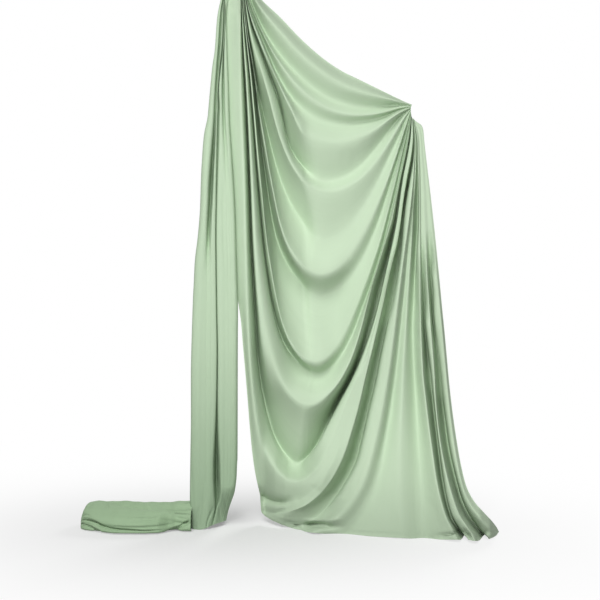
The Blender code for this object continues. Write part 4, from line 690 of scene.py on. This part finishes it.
class Nodes:  # the nodes of one material or of the world
    def __init__(self, tree):
        self.tree = tree

    def node(self, kind, sockets=None, output=0, **settings):
        node = self.tree.nodes.new("ShaderNode" + kind)
        for name, value in settings.items():
            setattr(node, name, value)
        for name, value in (sockets or {}).items():
            if isinstance(value, Shade):
                self.tree.links.new(value.socket, node.inputs[name])
            else:
                node.inputs[name].default_value = value
        return Shade(self, node.outputs[output])

    def maths(self, operation, *values):
        return self.node("Math", dict(enumerate(values)), operation=operation)

    def mapped(self, place, scale):
        return self.node("Mapping", {"Vector": place, "Scale": scale})

    def noise(self, scale, detail, rough, place=None):  # a scale in three parts draws it out along one way
        place = place or self.object()
        if isinstance(scale, tuple):
            place, scale = self.mapped(place, scale), 1.0
        return self.node("TexNoise", {"Vector": place, "Scale": scale, "Detail": detail, "Roughness": rough})

    def object(self):
        return self.node("TexCoord", output=3)

    def ramp(self, value, *stops):  # 0 up to the first stop, 1 from the second on
        shade = self.node("ValToRGB", {0: value})
        for element, stop in zip(shade.socket.node.color_ramp.elements, stops):
            element.position = stop
        return shade

    def mixed(self, factor, first, second):
        return self.node("Mix", {0: factor, 6: first, 7: second}, output=2, data_type="RGBA")

    def whitened(self, output, kind, factor, first):  # the output's shader gives way to plain white
        white = self.node(kind, {"Color": (1, 1, 1, 1)})
        mixed = self.node("MixShader", {0: factor, 1: Shade(self, first), 2: white})
        self.tree.links.new(mixed.socket, self.tree.nodes[output].inputs[0])


class Finish(Nodes):  # one material
    def __init__(self, name, **values):
        self.material = bpy.data.materials.new(name)
        self.material.use_nodes = True
        super().__init__(self.material.node_tree)
        self.shader = self.tree.nodes["Principled BSDF"]
        for socket, value in values.items():
            self.shader.inputs[socket.replace("_", " ")].default_value = value

    def finished(self, colour, roughness, height, distance, strength):
        bump = self.node("Bump", {"Height": height, "Distance": distance, "Strength": strength})
        for socket, value in (("Base Color", colour), ("Roughness", roughness), ("Normal", bump)):
            self.tree.links.new(value.socket, self.shader.inputs[socket])
        return self.material


tricot = {
    "paintedShades": {  # painted shade as colour factors: on the whole piece, at the floor, and how high that reaches
        "spread": ((1, 1, 1), (0.8, 0.8, 0.8), 0.45),
        "hanging": ((0.93, 0.95, 0.93), (0.6, 0.66, 0.6), 1.2),
        "folded": ((0.62, 0.69, 0.6), (0.58, 0.66, 0.56), 0.16),
    },
    "pale": (0.515, 0.63, 0.472), "deep": (0.44, 0.56, 0.398), "roughness": 0.66, "gloss": 0.12,
    "streaks": (60, 2.2, 1), "pulls": (190, 9, 1), "soft": (26, 26, 5), "bump": 0.001,
}


def makeTricot(kind):
    shadeTint, floorShadeTint, reach = tricot["paintedShades"][kind]
    f = Finish("silk_" + kind, Roughness=tricot["roughness"], Specular_IOR_Level=tricot["gloss"])
    cloth = f.node("UVMap", uv_map="cloth")
    streaks = f.noise(tricot["streaks"], 3, 0.55, cloth)  # long pulls in the knit
    pulls = f.noise(tricot["pulls"], 2, 0.5, cloth)
    cloudy = f.noise(3.0, 2, 0.5)
    varied = streaks * 0.45 + cloudy * 0.35 + pulls * 0.15
    # painted shade: low is the knit's colour darkened at the floor, high the colour darkened over the whole piece
    low, high = (f.mixed(varied, *([c * s for c, s in zip(tricot[shade], share)] + [1] for shade in ("deep", "pale")))
                 for share in (floorShadeTint, shadeTint))
    # painted shade: the colour is darker towards the floor, up to the given height above it
    height = f.node("SeparateXYZ", {0: f.object()}, output=2)
    floor = look["floor"]
    aboveFloorShade = f.node("MapRange", {0: height, 1: floor, 2: floor + reach}, interpolation_type="SMOOTHSTEP")
    roughness = pulls * 0.12 + (tricot["roughness"] - 0.06)
    soft = f.noise(tricot["soft"], 3, 0.5)
    return f.finished(f.mixed(aboveFloorShade, low, high), roughness, soft, tricot["bump"], 0.5)


def makeGalvanised():
    f = Finish("galvanised_steel", Metallic=1.0)
    spangle = f.node("TexVoronoi", {"Vector": f.object(), "Scale": 230.0}, output=1)
    shade = f.node("SeparateColor", {0: spangle})
    dull = f.noise(95.0, 4, 0.6)
    smudge = f.noise(28.0, 3, 0.6)
    colour = f.mixed(shade * 0.45 + dull * 0.45, (0.36, 0.37, 0.39, 1), (0.64, 0.65, 0.66, 1))
    return f.finished(colour, shade * 0.1 + smudge * 0.22 + 0.32, dull * 0.7 + shade * 0.15, 0.00012, 0.6)


def makeAnodised():
    f = Finish("anodised_alloy", Metallic=1.0)
    grain = f.noise((900, 900, 120), 2, 0.5)
    fine = f.noise(650.0, 2, 0.6)
    rubbed = f.ramp(f.noise(60.0, 5, 0.65), 0.56, 0.72)
    nicks = f.ramp(f.noise(420.0, 3, 0.6), 0.64, 0.7)
    colour = f.mixed(rubbed * 0.16 + nicks * 0.3, (0.06, 0.066, 0.072, 1), (0.55, 0.56, 0.57, 1))
    return f.finished(colour, grain * 0.1 + fine * 0.08 + 0.27, fine * 0.5 + grain * 0.5, 0.00004, 0.5)


def makeBright():
    f = Finish("bright_steel", Metallic=1.0)
    turned = f.noise((60, 60, 2400), 2, 0.5)
    scratches = f.ramp(f.noise((380, 90, 380), 3, 0.7), 0.6, 0.66)
    colour = f.mixed(scratches * 0.5, (0.66, 0.66, 0.67, 1), (0.8, 0.8, 0.8, 1))
    return f.finished(colour, turned * 0.1 + scratches * 0.14 + 0.14, turned, 0.00003, 0.5)


# one copy of the tricot for each piece, each darkened by its own painted shade
finishes = {"silk_" + kind: makeTricot(kind) for kind in tricot["paintedShades"]}
finishes |= {"galvanised_steel": makeGalvanised(), "anodised_alloy": makeAnodised(), "bright_steel": makeBright()}
print("finishes ready")

for part in frame["record"]["subparts"]:  # the rigging keeps its CAD shapes
    if not part["node"].startswith("silk_"):
        node = frame["nodes"][part["node"]]
        node.data.materials.clear()
        node.data.materials.append(finishes[part["material_slot"]])

flatWidth = 2.8  # the tricot is sold this wide
for made, finish, node, flat, held, rests in (
    (makeSpreadTail(), "silk_spread", "silk_right_panel", (flatWidth, 3.2), "hung", ["silk_hitch"]),
    (makeHangingTail(), "silk_hanging", "silk_left_tail", (flatWidth, 3.0), "gathered", ["silk_hitch"]),
    (makeFloorBundle(), "silk_folded", "silk_floor_bundle", (flatWidth, 0.6), "folded", ["silk_left_tail"]),
    # the hitch's flat size is that of its strand's outer layer
    (makeHitch(), "silk_spread", "silk_hitch", (0.065, 0.205), "gathered", ["rescue_eight"]),
):
    made.data.materials.append(finishes[finish])
    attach(made, "silks")
    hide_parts(node)
print("cloth hung")


studio = {
    "floorSize": 30, "floorDrop": 0.0004, "floorColour": (0.66, 0.66, 0.66, 1), "floorRoughness": 0.85,
    "shadowKept": 0.72, "shadowStretch": (0.8, 1, 0), "shadowFall": 2.718, "world": 0.085,
    "lamps": [  # name, kind, place, aimed at, power, size in metres or the sun's angle
        ("sun", "SUN", (-0.25, -1.0, 1.15), (0, 0, 0), 2.0, math.radians(30)),
        ("key", "AREA", (-0.1, -2.9, -1.0), (0.5, 0, -1.8), 52, 0.7),
        ("rear", "AREA", (1.9, 3.2, -0.8), (0.4, 0, -1.9), 75, 1.2),
    ],
}


def seenPlain(f):  # 1 where the camera or a reflection looks straight at a surface
    camera, glossy, transmission = (f.node("LightPath", output=k) for k in (0, 3, 6))
    return f.maths("MAXIMUM", camera, f.maths("MAXIMUM", glossy, transmission))


def makeFloor():  # white to the eye, but for the cloth's shadow near it
    bpy.ops.mesh.primitive_plane_add(size=studio["floorSize"], location=(0, 0, look["floor"] - studio["floorDrop"]))
    floor = bpy.context.object
    floor.name = "floor"
    f = Finish("paper", Base_Color=studio["floorColour"], Roughness=studio["floorRoughness"])
    near = f.node("VectorMath", {0: f.mapped(f.object(), studio["shadowStretch"])}, output=1, operation="LENGTH")
    kept = studio["shadowFall"] ** (near * near * -1) * studio["shadowKept"]
    f.whitened("Material Output", "Emission", seenPlain(f) * (1 - kept), f.shader.outputs[0])
    floor.data.materials.append(f.material)


def makeWorld():  # white to the eye, and a weak light on the part
    world = bpy.data.worlds.new("studio")
    bpy.context.scene.world = world
    world.use_nodes = True
    f = Nodes(world.node_tree)
    plain = f.tree.nodes["Background"]
    plain.inputs["Color"].default_value = (1, 1, 1, 1)
    plain.inputs["Strength"].default_value = studio["world"]
    f.whitened("World Output", "Background", seenPlain(f), plain.outputs[0])


def makeLamps():
    for name, kind, place, aim, power, size in studio["lamps"]:
        light = bpy.data.lights.new(name, kind)
        light.energy = power
        setattr(light, "angle" if kind == "SUN" else "size", size)
        lamp = bpy.data.objects.new(name, light)
        lamp.location = place
        lamp.rotation_euler = (Vector(aim) - Vector(place)).to_track_quat("-Z", "Y").to_euler()
        bpy.context.collection.objects.link(lamp)


def makeCamera():
    camera = bpy.data.objects.new("camera", bpy.data.cameras.new("camera"))
    bpy.context.collection.objects.link(camera)
    camera.location = (middleAcross * pixel, -look["eye"] * pixel, eyeHeight)
    camera.rotation_euler = (math.pi / 2, 0, 0)
    camera.data.sensor_width = look["sensor"]
    camera.data.lens = look["sensor"] * look["eye"] / look["width"]
    bpy.context.scene.camera = camera


makeFloor()
makeWorld()
makeLamps()
makeCamera()
bpy.context.scene.view_settings.view_transform = "Standard"
print("studio ready")
